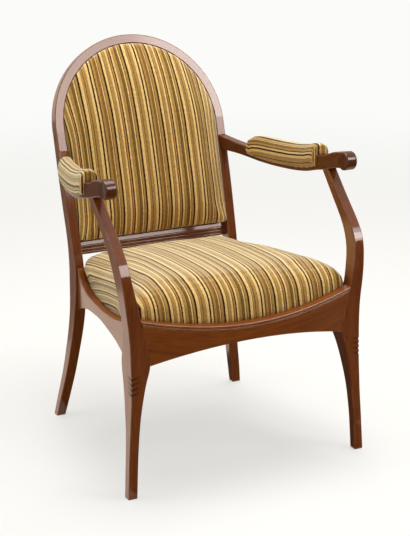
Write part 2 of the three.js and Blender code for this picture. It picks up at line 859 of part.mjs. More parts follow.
// Rows of share from front to rear and share of the fall towards the rear
const seatFallShares = [
  [0, 0.3],
  [0.1, 0.1],
  [0.24, 0],
  [0.4, 0.02],
  [0.57, 0.17],
  [0.77, 0.5],
  [0.92, 0.85],
  [1, 1],
];

// Height of the domed top of the seat, away from its rounded edge
function seatTopAt(x, y) {
  const share = (y - frontLedge) / (rearRailFront - frontLedge);
  const crossShare = x / (sideRailOuterAt(y) - sideLedge);
  return seatTopHeight - seatRearFall * smoothAt(seatFallShares, 1, share) - seatCrossCrown * crossShare ** 2;
}

const seatUpperShares = [1, 0.985, 0.96, 0.92, 0.87, 0.78, 0.6, 0.3];
const seatLowerShares = [0.985, 0.8, 0.5, 0.25];

function seatCushion() {
  const outline = seatOutline(fit);
  const upper = (edge, share) => {
    const [x, y] = seatPoint(outline, edge, share);
    const wall = (1 - share ** 12) ** seatWallShare;
    return [x, y, ledgeHeightAt(edge) * (1 - wall) + seatTopAt(x, y) * wall];
  };
  const lower = (edge, share) => [...seatPoint(outline, edge, share), seatUnderside(edge, share)];
  return pillow(outline, seatCentre, seatUpperShares, seatLowerShares, upper, lower);
}

const hessianShares = [0.97, 0.8, 0.5, 0.25];

function seatHessian() {
  const outline = seatOutline(fit);
  const top = (edge, share) => [...seatPoint(outline, edge, share), seatUnderside(edge, share) - fit];
  const under = (edge, share) => {
    const [x, y, z] = top(edge, share);
    return [x, y, z - hessianThickness];
  };
  return pillow(outline, seatCentre, hessianShares, hessianShares, top, under);
}

function springTopAt(x, y) {
  const outline = seatOutline(fit);
  const share = edgeShareOf(outline, seatCentre, x, y);
  const edge = [seatCentre[0] + (x - seatCentre[0]) / share, seatCentre[1] + (y - seatCentre[1]) / share];
  return seatUnderside(edge, share) - fit * 2 - hessianThickness;
}

class SpringCurve extends THREE.Curve {
  constructor(x, y, bottom, top) {
    super();
    Object.assign(this, { x, y, bottom, top });
  }

  getPoint(share, target = new THREE.Vector3()) {
    const turn = share * springTurns * Math.PI * 2;
    const radius = springRadius * (1 - springWaistShare * Math.sin(share * Math.PI));
    const height = this.bottom + (this.top - this.bottom) * share;
    return target.set(this.x + radius * Math.cos(turn), this.y + radius * Math.sin(turn), height);
  }
}

function spring(x, y) {
  const room = springWire / 2 + fit * 4;
  const reach = springRadius + springWire;
  const ring = evenly(0, Math.PI * 2, 12).map((turn) => {
    return springTopAt(x + reach * Math.cos(turn), y + reach * Math.sin(turn));
  });
  const top = Math.min(...ring) - room;
  const curve = new SpringCurve(x, y, webbingHeight + springWire / 2, top);
  const corners = evenly(0, Math.PI * 2, 5).slice(1)
    .map((turn) => new THREE.Vector2(Math.cos(turn), Math.sin(turn)).multiplyScalar(springWire / 2));
  return new THREE.ExtrudeGeometry(new THREE.Shape(corners), { steps: springTurns * 8, extrudePath: curve });
}

// Back: an outline of [x, height] points just inside the stiles and the arch
function backOutline(gap) {
  const points = [];
  const bottom = backRailBottom + backRailHeight + gap;
  const radius = backHalf - archWidth - gap;
  const innerAt = (height) => legAt(rearLegRows, height).inner - gap;
  const side = evenly(bottom, springHeight, 7).slice(0, -1).map((height) => [innerAt(height), height]);
  points.push(...side);
  for (const turn of evenly(0, Math.PI, 24)) {
    points.push([radius * Math.cos(turn), springHeight + radius * Math.sin(turn) * Math.cos(crestTilt)]);
  }
  points.push(...side.reverse().map(([x, height]) => [-x, height]));
  points.push(...evenly(-1, 1, 10).slice(1, -1).map((share) => [innerAt(bottom) * share, bottom]));
  return points;
}

const backCentre = [0, (backRailBottom + backRailHeight + chairHeight - archWidth) / 2];

// Place behind the front face of the back, square to its lean, as [y, height]
function behindBack(height, depth) {
  const leanShare = (height - backRailBottom - backRailHeight) / (springHeight - waistHeight);
  const turn = crestTilt * Math.min(1, leanShare);
  return [backFrontAt(height) + depth * Math.cos(turn), height - depth * Math.sin(turn)];
}

function backPillow(gap, upperShares, lowerShares, front, rear) {
  const outline = backOutline(gap);
  const surface = (depth) => (edge, share) => {
    const x = edge[0] * share + backCentre[0] * (1 - share);
    return [x, ...behindBack(edge[1] * share + backCentre[1] * (1 - share), depth(share))];
  };
  return pillow(outline, backCentre, upperShares, lowerShares, surface(front), surface(rear));
}

const backUpperShares = [1, 0.985, 0.95, 0.88, 0.75, 0.5, 0.25];
const backLowerShares = [1, 0.75, 0.5, 0.25];

function backCushion() {
  const crown = (share) => -backCrown * (1 - share ** 4) ** backWallShare;
  return backPillow(backGap, backUpperShares, backLowerShares, crown, () => backSinkDepth);
}

function backPanel() {
  const front = () => backPanelSetback;
  const rear = () => backPanelSetback + backPanelThickness;
  return backPillow(fit * 2, backLowerShares, backLowerShares, front, rear);
}

function backStrap(height) {
  const half = backOutlineHalfAt(height - webbingWidth / 2) - backGap;
  const otherHalf = backOutlineHalfAt(height + webbingWidth / 2 + backSinkDepth) - backGap;
  const reach = Math.min(half, otherHalf);
  const depth = backSinkDepth + backGap;
  const edges = [height - webbingWidth / 2, height + webbingWidth / 2];
  const front = edges.map((at) => behindBack(at, depth));
  const rear = edges.reverse().map((at) => behindBack(at, depth + webbingThickness));
  return bar('x', [-reach, reach], () => [...front, ...rear]);
}

function backOutlineHalfAt(height) {
  if (height < springHeight) return legAt(rearLegRows, height).inner;
  const rise = (height - springHeight) / Math.cos(crestTilt);
  return Math.sqrt((backHalf - archWidth) ** 2 - rise ** 2);
}

// Half length of the lower back rail, to the middle of the stile where the stiles stand closest
function backRailReach() {
  const edges = [backRailBottom, backRailBottom + backRailHeight];
  return Math.min(...edges.map((height) => legMiddle(legAt(rearLegRows, height)).x));
}

// Lower back rail: an upright board that leans with the stiles, fluted along its lower part
function lowerBackRail() {
  const lean = (backFrontAt(backRailBottom + backRailHeight) - backFrontAt(backRailBottom)) / backRailHeight;
  const faceAt = (rise) => backFrontAt(backRailBottom) + backRailSetback + rise * lean;
  const section = [[faceAt(0) + backRailThickness, backRailBottom]];
  section.push([faceAt(0), backRailBottom]);
  for (let i = 0; i < fluteCount; i += 1) {
    const start = fluteWidth * (fluteStartShare + i * flutePitchShare);
    for (const turn of evenly(0, Math.PI, 4)) {
      const rise = start + (fluteWidth / 2) * (1 - Math.cos(turn));
      section.push([faceAt(rise) + fluteDepth * Math.sin(turn), backRailBottom + rise]);
    }
  }
  section.push([faceAt(backRailHeight), backRailBottom + backRailHeight]);
  section.push([faceAt(backRailHeight) + backRailThickness, backRailBottom + backRailHeight]);
  const half = backRailReach();
  return bar('x', evenly(-half, half, 2), () => section);
}

function backRailTenon(room) {
  const half = backRailReach() + tenonThickness / 3;
  const middle = backFrontAt(backRailBottom + backRailHeight / 2) + backRailSetback + backRailThickness / 2;
  return boxTenon(half - tenonLength, half, middle - tenonThickness / 3, middle + tenonThickness / 3,
    backRailBottom + tenonInset * 2, backRailBottom + backRailHeight - tenonInset * 2, room);
}

// Corner blocks close each corner of the seat frame behind the rails; a screw starts in the
// middle of each block's long open face
function blockOutline(corner) {
  const faceAt = (y) => sideRailOuterAt(y) - sideRailThickness - fit;
  const startY = corner.rail + corner.towards * fit;
  const nearY = corner.side + corner.towards * fit;
  const farY = nearY + corner.towards * corner.sideReach;
  const nearX = Math.min(corner.leg.inner, faceAt(nearY)) - tenonInset;
  return [
    [nearX, startY],
    [nearX, nearY],
    [faceAt(nearY), nearY],
    [faceAt(farY), farY],
    [faceAt(farY) - overrun * 2, farY],
    [faceAt(startY) - corner.railReach, startY + corner.towards * overrun * 2],
    [faceAt(startY) - corner.railReach, startY],
  ];
}

function cornerBlock(corner) {
  return toSolid(bar('z', [corner.bottom, corner.bottom + corner.height], () => blockOutline(corner)));
}

function screwFrom(start, direction, length, room) {
  const neck = start.clone().addScaledVector(direction, screwHeadLength + room);
  const tip = start.clone().addScaledVector(direction, length + room);
  const back = start.clone().addScaledVector(direction, room > 0 ? -overrun * 3 : 0);
  const head = toSolid(rod(screwHeadRadius + room, back, neck));
  return head.add(toSolid(rod(screwRadius + room, back, tip, 12)));
}

function cornerScrew(corner, room) {
  const outline = blockOutline(corner);
  const height = corner.bottom + corner.height / 2;
  const [start, end] = [outline[4], outline[5]].map(([x, y]) => new THREE.Vector3(x, y, height));
  const middle = start.clone().add(end).multiplyScalar(0.5);
  const square = new THREE.Vector3(end.y - start.y, start.x - end.x, 0)
    .multiplyScalar(-corner.towards)
    .normalize();
  const direction = corner.aim ? corner.aim.clone().setZ(height).sub(middle).normalize() : square;
  const sunk = middle.addScaledVector(direction, screwHeadRadius);
  return screwFrom(sunk, direction, corner.screwLength, room);
}

const frontKneeLeg = legAt(frontLegRows, webbingHeight);
const frontCorner = {
  leg: frontKneeLeg,
  rail: frontRailInnerFace,
  side: frontKneeLeg.rear + overrun,
  towards: 1,
  railReach: cornerBlockReach,
  sideReach: cornerBlockReach,
  bottom: webbingHeight + fit,
  height: cornerBlockHeight,
  aim: legMiddle(frontKneeLeg),
  screwLength: cornerScrewLength,
};
const rearCorner = {
  leg: legAt(rearLegRows, webbingHeight),
  rail: rearRailFront,
  side: rearSeatSetback - fit * 2,
  towards: -1,
  railReach: cornerBlockReach,
  sideReach: rearBlockSideReach,
  bottom: webbingHeight + fit,
  height: rearBlockHeight,
  aim: null,
  screwLength: rearScrewLength,
};

// A dowel leans with the upper half of the arm post, from the post up into the arm
const postWaistHeight = (elbowHeight + armSeatHeight) / 2;
const dowelMiddle = legMiddle(legAt(frontLegRows, armSeatHeight)).setZ(armSeatHeight);
const dowelLean = dowelMiddle.clone()
  .sub(legMiddle(legAt(frontLegRows, postWaistHeight)).setZ(postWaistHeight))
  .setX(0)
  .normalize();

function postDowel(room) {
  const half = dowelLength / 2 + room;
  const bottom = dowelMiddle.clone().addScaledVector(dowelLean, -half);
  const top = dowelMiddle.clone().addScaledVector(dowelLean, half * dowelTopShare);
  return toSolid(rod(dowelRadius + room, bottom, top, 12));
}

// Front legs stop under the arm
let frontLeg = toSolid(legBar(frontLegRows, postTop, 0, 0))
  .subtract(toSolid(aboveArm()))
  .subtract(frontTenon(fit))
  .subtract(sideTenon(frontTenonMouth, frontTenonRun, fit))
  .subtract(cornerScrew(frontCorner, fit))
  .subtract(postDowel(fit));
for (let i = 0; i < notchCount; i += 1) {
  frontLeg = frontLeg.subtract(toSolid(kneeNotch(notchTopHeight - notchPitch * i)));
}
addPair('front_leg', fromSolid(frontLeg), showWood);

// Rear legs
const crestDowelPlace = backHalf - archWidth / 2;

function crestDowel(room) {
  const start = onCrestPoint(crestDowelPlace, -dowelLength / 2 - room, archThickness / 2);
  const end = onCrestPoint(crestDowelPlace, dowelLength / 2 + room, archThickness / 2);
  return toSolid(rod(dowelRadius + room, start, end, 12));
}

const aboveCrestJoint = toSolid(onCrest(block(-backSpan, backSpan, -fit, backSpan, -backSpan, backSpan)));
const armScrewHeight = rollHeight - armThickness * armScrewShare;
const armScrewPlace = legAt(rearLegRows, armScrewHeight);
const armScrewX = legMiddle(armScrewPlace).x;

function armScrew(room) {
  const start = new THREE.Vector3(armScrewX, armScrewPlace.rear - fit * 4, armScrewHeight);
  const tipY = armScrewPlace.rear - armScrewLength;
  const reach = armAt(tipY);
  const end = new THREE.Vector3((reach.inner + reach.outer) / 2, tipY, armScrewHeight);
  return screwFrom(start, end.sub(start).normalize(), armScrewLength, room);
}

const rearLeg = toSolid(legBar(rearLegRows, stileTop, 0, 0))
  .subtract(aboveCrestJoint)
  .subtract(sideTenon(rearTenonRun, rearTenonMouth, fit))
  .subtract(rearTenon(fit))
  .subtract(backRailTenon(fit))
  .subtract(crestDowel(fit))
  .subtract(cornerScrew(rearCorner, fit))
  .subtract(armScrew(fit));
addPair('rear_leg', fromSolid(rearLeg), showWood);

const crest = toSolid(onCrest(crestArch())).subtract(bothSides(crestDowel(fit)));
addPiece('crest_arch', fromSolid(crest), showWood);

// Rails
const frontRailReach = frontRailEnd + overrun * 2;
const frontRail = toSolid(bar('x', evenly(-frontRailReach, frontRailReach, 28), frontRailSection))
  .subtract(bothSides(frontLegAcross))
  .add(bothSides(frontTenon(0)))
  .subtract(bothSides(cornerScrew(frontCorner, fit)));
addPiece('front_rail', fromSolid(frontRail), railWood);

const sideStations = [...evenly(sideRailFrontY - overrun * 2, sideRailRearY - overrun * 9, 20),
  ...evenly(sideRailRearY - overrun * 8, sideRailRearY + overrun, 10)];
const sideRail = toSolid(bar('y', sideStations, sideRailSection))
  .subtract(frontLegAlong)
  .subtract(rearLegAlong)
  .add(sideTenon(frontTenonMouth, frontTenonRun, 0))
  .add(sideTenon(rearTenonRun, rearTenonMouth, 0))
  .subtract(cornerScrew(frontCorner, fit))
  .subtract(cornerScrew(rearCorner, fit));
addPair('side_rail', fromSolid(sideRail), railWood);

const rearRailReach = rearSeatSpan / 2 - overrun;
const rearRail = toSolid(bar('x', evenly(-rearRailReach, rearRailReach, 16), rearRailSection))
  .subtract(bothSides(rearLegAcross))
  .add(bothSides(rearTenon(0)))
  .subtract(bothSides(cornerScrew(rearCorner, fit)));
addPiece('rear_rail', fromSolid(rearRail), railWood);

const lowerRail = toSolid(lowerBackRail())
  .subtract(bothSides(rearLegAcross))
  .add(bothSides(backRailTenon(0)));
addPiece('back_lower_rail', fromSolid(lowerRail), railWood);

// Corner blocks and their screws
const frontBlock = cornerBlock(frontCorner).subtract(cornerScrew(frontCorner, fit));
const rearBlock = cornerBlock(rearCorner).subtract(cornerScrew(rearCorner, fit));
addPair('corner_block_front', fromSolid(frontBlock), bareWood);
addPair('corner_block_rear', fromSolid(rearBlock), bareWood);
addPair('corner_screw_front', fromSolid(cornerScrew(frontCorner, 0)), steel);
addPair('corner_screw_rear', fromSolid(cornerScrew(rearCorner, 0)), steel);

// Arms and their padded covers
const padRoom = toSolid(padBar(fit)).subtract(toSolid(padCore(0)));
const armWood = toSolid(armBar())
  .add(toSolid(roll()))
  .subtract(padRoom)
  .subtract(rearLegAlong)
  .subtract(postDowel(fit))
  .subtract(armScrew(fit));
addPair('arm', fromSolid(armWood), showWood);
addPair('arm_pad', fromSolid(toSolid(padBar(0)).subtract(toSolid(padCore(fit)))), stripe);
addPair('arm_screw', fromSolid(armScrew(0)), steel);
addPair('arm_post_dowel', fromSolid(postDowel(0)), bareWood);
addPair('crest_dowel', fromSolid(crestDowel(0)), bareWood);

// Seat
const strapFront = frontRailEndFront + apronThickness + fit;
const strapRear = rearRailFront + rearRailThickness - apronThickness - fit;
const strapPlaceShares = [-0.72, -0.24, 0.24, 0.72];
strapPlaceShares.forEach((share, i) => {
  const x = share * (sideRailRearX - sideRailThickness);
  const top = webbingHeight - fit;
  const [left, right] = [x - webbingWidth / 2, x + webbingWidth / 2];
  const strap = block(left, right, strapFront, strapRear, top - webbingThickness, top);
  addPiece(`seat_webbing_long_${i + 1}`, strap, jute);
});
const crossPlaceShares = [0.2, 0.5, 0.8];
crossPlaceShares.forEach((share, i) => {
  const y = strapFront + (strapRear - strapFront) * share;
  const half = sideRailOuterAt(y + webbingWidth / 2) - apronThickness - fit;
  const top = crossWebbingHeight - fit;
  const strap = block(-half, half, y - webbingWidth / 2, y + webbingWidth / 2, top - webbingThickness, top);
  addPiece(`seat_webbing_cross_${i + 1}`, strap, jute);
});

const springSpread = springRadius * 3;
const springPlaces = [
  [0, seatCentre[1]],
  [-springSpread, seatCentre[1] - springSpread],
  [springSpread, seatCentre[1] - springSpread],
  [-springSpread, seatCentre[1] + springSpread],
  [springSpread, seatCentre[1] + springSpread],
];
springPlaces.forEach(([x, y], i) => addPiece(`seat_spring_${i + 1}`, spring(x, y), steel));
addPiece('seat_hessian', seatHessian(), jute);
addPiece('seat_cushion', seatCushion(), stripe);

const clothTop = crossWebbingHeight - webbingThickness - fit * 2;
const clothOutline = [
  [-sideRailOuterAt(strapFront) + apronThickness + fit, strapFront],
  [sideRailOuterAt(strapFront) - apronThickness - fit, strapFront],
  [sideRailOuterAt(strapRear) - apronThickness - fit * 2, strapRear],
  [-sideRailOuterAt(strapRear) + apronThickness + fit * 2, strapRear],
];
const cloth = toSolid(bar('z', [clothTop - dustCoverThickness, clothTop], () => clothOutline))
  .subtract(bothSides(frontLegAlong))
  .subtract(bothSides(rearLegAlong));
addPiece('dust_cover', fromSolid(cloth), blackCloth);

// Back
addPiece('back_cushion', backCushion(), stripe);
addPiece('back_panel', backPanel(), stripe);
const backStrapShares = [0.2, 0.47, 0.74];
backStrapShares.forEach((share, i) => {
  const bottom = backRailBottom + backRailHeight;
  addPiece(`back_webbing_${i + 1}`, backStrap(bottom + (chairHeight - archWidth - bottom) * share), jute);
});

// The middle of the footprint stands over the origin
chair.updateMatrixWorld(true);
const bounds = new THREE.Box3().setFromObject(chair);
const middle = bounds.getCenter(new THREE.Vector3());
chair.position.set(-middle.x, -middle.y, -bounds.min.z);

export default chair;
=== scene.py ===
import math

import bmesh
import bpy
import numpy as np
from mathutils import Matrix, Vector
from mathutils.kdtree import KDTree


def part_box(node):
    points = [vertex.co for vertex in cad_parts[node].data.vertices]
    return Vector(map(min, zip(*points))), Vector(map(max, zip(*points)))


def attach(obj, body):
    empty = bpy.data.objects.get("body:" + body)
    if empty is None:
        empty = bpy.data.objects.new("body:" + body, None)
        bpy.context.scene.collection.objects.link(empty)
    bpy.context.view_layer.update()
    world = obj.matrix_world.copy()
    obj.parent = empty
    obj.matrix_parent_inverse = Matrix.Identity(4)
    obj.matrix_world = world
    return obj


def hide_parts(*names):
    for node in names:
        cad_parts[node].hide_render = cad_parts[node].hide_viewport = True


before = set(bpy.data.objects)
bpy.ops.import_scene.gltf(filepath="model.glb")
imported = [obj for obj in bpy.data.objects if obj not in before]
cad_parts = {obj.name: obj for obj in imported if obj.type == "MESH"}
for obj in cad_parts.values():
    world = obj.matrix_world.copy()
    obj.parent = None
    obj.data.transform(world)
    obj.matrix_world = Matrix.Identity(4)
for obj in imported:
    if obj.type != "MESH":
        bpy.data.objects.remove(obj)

scene = bpy.context.scene
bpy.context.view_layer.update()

# Camera, solved from the mirrored edges of the chair in the photograph
view = {
    "place": (-1.5567, -3.0729, 1.4562),
    "pitch": 73.174,
    "turn": -27.685,
    "focalPixels": 1459.8,
    "picture": (410, 536),
}

camera = bpy.data.objects.new("camera", bpy.data.cameras.new("camera"))
scene.collection.objects.link(camera)
camera.location = view["place"]
camera.rotation_euler = (math.radians(view["pitch"]), 0, math.radians(view["turn"]))
camera.data.sensor_fit = "AUTO"
camera.data.sensor_width = 36
camera.data.lens = view["focalPixels"] * 36 / max(view["picture"])
camera.data.clip_end = 100
scene.camera = camera
scene.view_settings.view_transform = "Standard"
print("camera ready")


# A socket with Python's operators, so that maths on values reads as a formula
class Signal:
    def __init__(self, recipe, socket):
        self.recipe = recipe
        self.socket = socket

    def maths(self, operation, *values):
        return self.recipe.node("ShaderNodeMath", {"operation": operation}, dict(enumerate(values)))

    def __add__(self, other):
        return self.maths("ADD", self, other)

    def __radd__(self, other):
        return self.maths("ADD", other, self)

    def __sub__(self, other):
        return self.maths("SUBTRACT", self, other)

    def __rsub__(self, other):
        return self.maths("SUBTRACT", other, self)

    def __mul__(self, other):
        return self.maths("MULTIPLY", self, other)

    def __rmul__(self, other):
        return self.maths("MULTIPLY", other, self)

    def __truediv__(self, other):
        return self.maths("DIVIDE", self, other)

    def __rtruediv__(self, other):
        return self.maths("DIVIDE", other, self)

    def __pow__(self, other):
        return self.maths("POWER", self, other)

    def __neg__(self):
        return self.maths("MULTIPLY", self, -1)


# The node tree of one material or world
class Recipe:
    def __init__(self, block):
        block.use_nodes = True
        self.tree = block.node_tree
        self.tree.nodes.clear()

    def node(self, kind, settings=None, values=None, output=0):
        made = self.tree.nodes.new(kind)
        for name, value in (settings or {}).items():
            if name == "stops":
                stops = made.color_ramp.elements
                while len(stops) < len(value):
                    stops.new(1)
                for stop, (place, colour) in zip(stops, value):
                    stop.position = place
                    stop.color = (*colour, 1)
                made.color_ramp.interpolation = "CONSTANT"
            else:
                setattr(made, name, value)
        for name, value in (values or {}).items():
            socket = made.inputs[name] if isinstance(name, int) else self.named(made.inputs, name)
            if isinstance(value, Signal):
                self.tree.links.new(value.socket, socket)
            elif socket.type == "RGBA" and len(value) == 3:
                socket.default_value = (*value, 1)
            else:
                socket.default_value = value
        if not made.outputs:
            return None
        found = made.outputs[output] if isinstance(output, int) else self.named(made.outputs, output)
        return Signal(self, found)

    def named(self, sockets, name):
        return next(socket for socket in sockets if name in (socket.identifier, socket.name))

    def blend(self, share, first, second):
        return self.node("ShaderNodeMix", {"data_type": "RGBA"},
                         {"Factor_Float": share, "A_Color": first, "B_Color": second}, "Result_Color")

    def clamp(self, value):
        return self.node("ShaderNodeClamp", None, {"Value": value})

    def rise(self, value, start, end):
        return self.node("ShaderNodeMapRange", {"interpolation_type": "SMOOTHSTEP"},
                         {"Value": value, "From Min": start, "From Max": end})

    def stretched(self, scale, turn=(0, 0, 0), place=(0, 0, 0)):
        start = self.node("ShaderNodeTexCoord", None, None, "Object")
        return self.node("ShaderNodeMapping", None,
                         {"Vector": start, "Location": place, "Rotation": turn, "Scale": scale})

    def noise(self, where, scale, detail=2.0, roughness=0.5, warp=0.0):
        return self.node("ShaderNodeTexNoise", None,
                         {"Vector": where, "Scale": scale, "Detail": detail, "Roughness": roughness,
                          "Distortion": warp})


def newMaterial(name):
    material = bpy.data.materials.new(name)
    return material, Recipe(material)


# Wood, stained and varnished. The grain attribute holds the way along the piece and the place
# in its section, and the edge attribute is 1 on the worn edges, whose lighter colour is partly
# real wear and partly painted highlight.
# In each look, the colour listed after worn is painted shade for the leg notches and the tone of the darkened arm roll
woodLooks = {
    "showWood": {"dark": (0.105, 0.0225, 0.0030), "light": (0.215, 0.055, 0.0080), "worn": (0.36, 0.145, 0.055),
                 "carved": (0.018, 0.0040, 0.0008), "wearAndEdgeHighlight": 0.45, "gloss": 0.05, "coat": 0.5, "sheen": 0.2,
                 "sheenTint": (1.0, 0.72, 0.55), "rough": 0.4},
    "railWood": {"dark": (0.130, 0.028, 0.0020), "light": (0.255, 0.066, 0.0056), "worn": (0.42, 0.19, 0.075),
                 "carved": (0.02, 0.005, 0.001), "wearAndEdgeHighlight": 0.40, "gloss": 0.05, "coat": 0.4, "sheen": 0.28,
                 "sheenTint": (1.0, 0.72, 0.53), "rough": 0.42},
    "armWood": {"dark": (0.066, 0.0140, 0.0022), "light": (0.140, 0.034, 0.0052), "worn": (0.27, 0.105, 0.040),
                "carved": (0.018, 0.0040, 0.0008), "wearAndEdgeHighlight": 0.45, "gloss": 0.05, "coat": 0.5, "sheen": 0.06,
                "sheenTint": (1.0, 0.72, 0.55), "rough": 0.4},
    "bareWood": {"dark": (0.30, 0.17, 0.08), "light": (0.48, 0.31, 0.17), "worn": (0.55, 0.38, 0.22),
                 "carved": (0.20, 0.11, 0.05), "wearAndEdgeHighlight": 0.2, "gloss": 0.2, "coat": 0.0, "sheen": 0.0,
                 "sheenTint": (1.0, 1.0, 1.0), "rough": 0.75},
}


def woodMaterial(look, name="", where=None):
    values = woodLooks[look]
    material, recipe = newMaterial(name or look)
    grain = where(recipe) if where else recipe.node("ShaderNodeAttribute", {"attribute_name": "grain"}, None, "Vector")
    edge = recipe.node("ShaderNodeAttribute", {"attribute_name": "edge"}, None, "Fac")

    def streaked(scale, detail=3.0, roughness=0.6, warp=0.0):
        place = recipe.node("ShaderNodeMapping", None, {"Vector": grain, "Scale": scale})
        return recipe.noise(place, 1.0, detail, roughness, warp)

    broad = streaked((1.6, 40, 40), 4, 0.6, 0.5)
    fine = streaked((18, 240, 240), 3, 0.65)
    pores = recipe.rise(streaked((55, 1100, 1100), 2, 0.5), 0.62, 0.72)
    patches = streaked((22, 26, 26), 5, 0.7)
    scratches = recipe.rise(streaked((420, 70, 300), 2, 0.5, 0.6), 0.735, 0.765) * recipe.rise(patches, 0.45, 0.6)
    colour = recipe.blend(recipe.rise(broad * 0.5 + fine * 0.5, 0.25, 0.75), values["dark"], values["light"])
    colour = recipe.blend(pores * 0.55, colour, values["dark"])
    # The lighter colour on the edges is partly real wear and partly painted highlight; the scratches are real marks
    wearAndEdgeHighlight = recipe.clamp(edge * recipe.rise(patches, 0.42, 0.62) + scratches * 0.8) * values["wearAndEdgeHighlight"]
    colour = recipe.blend(wearAndEdgeHighlight, colour, values["worn"])
    # A third attribute paints the colour darker and takes away coat and sheen: painted shade in the leg notches, where
    # their recess would lie in shade, and a darker arm roll
    carved = recipe.node("ShaderNodeAttribute", {"attribute_name": "carved"}, None, "Fac")
    colour = recipe.blend(carved * 0.85, colour, values["carved"])
    height = fine * 0.6 - pores * 0.8 - scratches * 0.5 + patches * 0.3
    bump = recipe.node("ShaderNodeBump", None, {"Height": height, "Strength": 0.16, "Distance": 0.0006})
    stained = recipe.node("ShaderNodeBsdfPrincipled", None, {
        "Base Color": colour, "Roughness": values["rough"] + patches * 0.12, "Specular IOR Level": values["gloss"],
        "Coat Weight": recipe.clamp((1 - carved * 0.8) * values["coat"]), "Coat Roughness": 0.08, "Coat IOR": 1.7,
        "Normal": bump})
    facing = recipe.node("ShaderNodeLayerWeight", None, {"Blend": 0.5}, "Facing")
    normal = recipe.node("ShaderNodeNewGeometry", None, None, "Normal")
    upward = recipe.rise(recipe.node("ShaderNodeSeparateXYZ", None, {"Vector": normal}, "Z"), 0.3, 0.9)
    sheen = recipe.rise(facing, 0.22, 0.55) * values["sheen"] * (0.8 + broad * 0.4) * (1 - carved) * (1 - upward * 0.75)
    satin = recipe.node("ShaderNodeBsdfAnisotropic", None,
                        {"Color": values["sheenTint"], "Roughness": 0.3, "Normal": bump})
    mixed = recipe.node("ShaderNodeMixShader", None, {0: recipe.clamp(sheen), 1: stained, 2: satin})
    recipe.node("ShaderNodeOutputMaterial", None, {"Surface": mixed})
    return material


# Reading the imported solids: the corners of a section, and the reach of the sections along one axis
def trianglesOf(node):
    data = bpy.data.objects[node].data
    data.calc_loop_triangles()
    points = np.array([vertex.co[:] for vertex in data.vertices])
    return points[np.array([triangle.vertices[:] for triangle in data.loop_triangles])]


def sectionOf(triangles, axis, place):
    away = triangles[:, :, axis] - place
    found = []
    for first, second in ((0, 1), (1, 2), (2, 0)):
        crossing = (away[:, first] <= 0) != (away[:, second] <= 0)
        start, end = triangles[crossing, first], triangles[crossing, second]
        share = away[crossing, first] / (away[crossing, first] - away[crossing, second])
        found.append(start + share[:, None] * (end - start))
    return np.concatenate(found)


class Run:
    def __init__(self, node, axis, start, end, soft=0.011, step=0.002, reach=0.05):
        triangles = trianglesOf(node)
        across = [k for k in range(3) if k != axis]
        rows = []
        for place in np.arange(start, end, step):
            points = sectionOf(triangles, axis, place + step / 1000)[:, across]
            rows.append([points[:, 0].min(), points[:, 0].max(), points[:, 1].min(), points[:, 1].max()])
        rows = np.array(rows)
        extra = int(reach / step)
        count = np.arange(1, extra + 1)[:, None]
        before = rows[0] - (rows[8] - rows[0]) / 8 * count[::-1]
        after = rows[-1] + (rows[-1] - rows[-9]) / 8 * count
        self.places = start + step * np.arange(-extra, len(rows) + extra)
        rows = np.concatenate([before, rows, after])
        half = int(soft * 3 / step) + 1
        weights = np.exp(-0.5 * (np.arange(-half, half + 1) * step / soft) ** 2)
        padded = np.pad(rows, ((half, half), (0, 0)), mode="edge")
        self.rows = np.stack([np.convolve(padded[:, k], weights / weights.sum(), "valid") for k in range(4)], 1)

    def at(self, place):
        return [float(np.interp(place, self.places, self.rows[:, k])) for k in range(4)]


# A rounded rectangle as a ring of points; each straight side has as many inner points as asked
def roundedRing(low, high, low2, high2, radius, inner=2, steps=3):
    corners = [((high - radius, low2 + radius), -90), ((high - radius, high2 - radius), 0),
               ((low + radius, high2 - radius), 90), ((low + radius, low2 + radius), 180)]
    ring = []
    for (across, up), start in corners:
        for step in range(steps + 1):
            turn = math.radians(start + 90 * step / steps)
            ring.append((across + radius * math.cos(turn), up + radius * math.sin(turn)))
    full = []
    for k, point in enumerate(ring):
        full.append(point)
        if k % (steps + 1) == steps:
            after = ring[(k + 1) % len(ring)]
            for share in np.linspace(0, 1, inner + 2)[1:-1]:
                bent = 0.5 - 0.5 * math.cos(math.pi * share)
                full.append((point[0] + (after[0] - point[0]) * bent, point[1] + (after[1] - point[1]) * bent))
    return full


# Adds points near the ends of the long straight sides, so that the worn edges, painted lighter partly as highlight,
# stay narrow
def filled(rings, sections):
    rings = np.array(rings, dtype=float)
    sections = None if sections is None else np.array(sections, dtype=float)
    length = np.linalg.norm(np.roll(rings, -1, axis=1) - rings, axis=2).mean(axis=0)
    shares = [share if far else [0] for far, share in zip(length > 0.009, [[0, 0.06, 0.35, 0.65, 0.94]] * len(length))]

    def widened(values):
        after = np.roll(values, -1, axis=1)
        return np.stack([values[:, k] + (after[:, k] - values[:, k]) * share
                         for k, found in enumerate(shares) for share in found], 1)

    return widened(rings), None if sections is None else widened(sections)


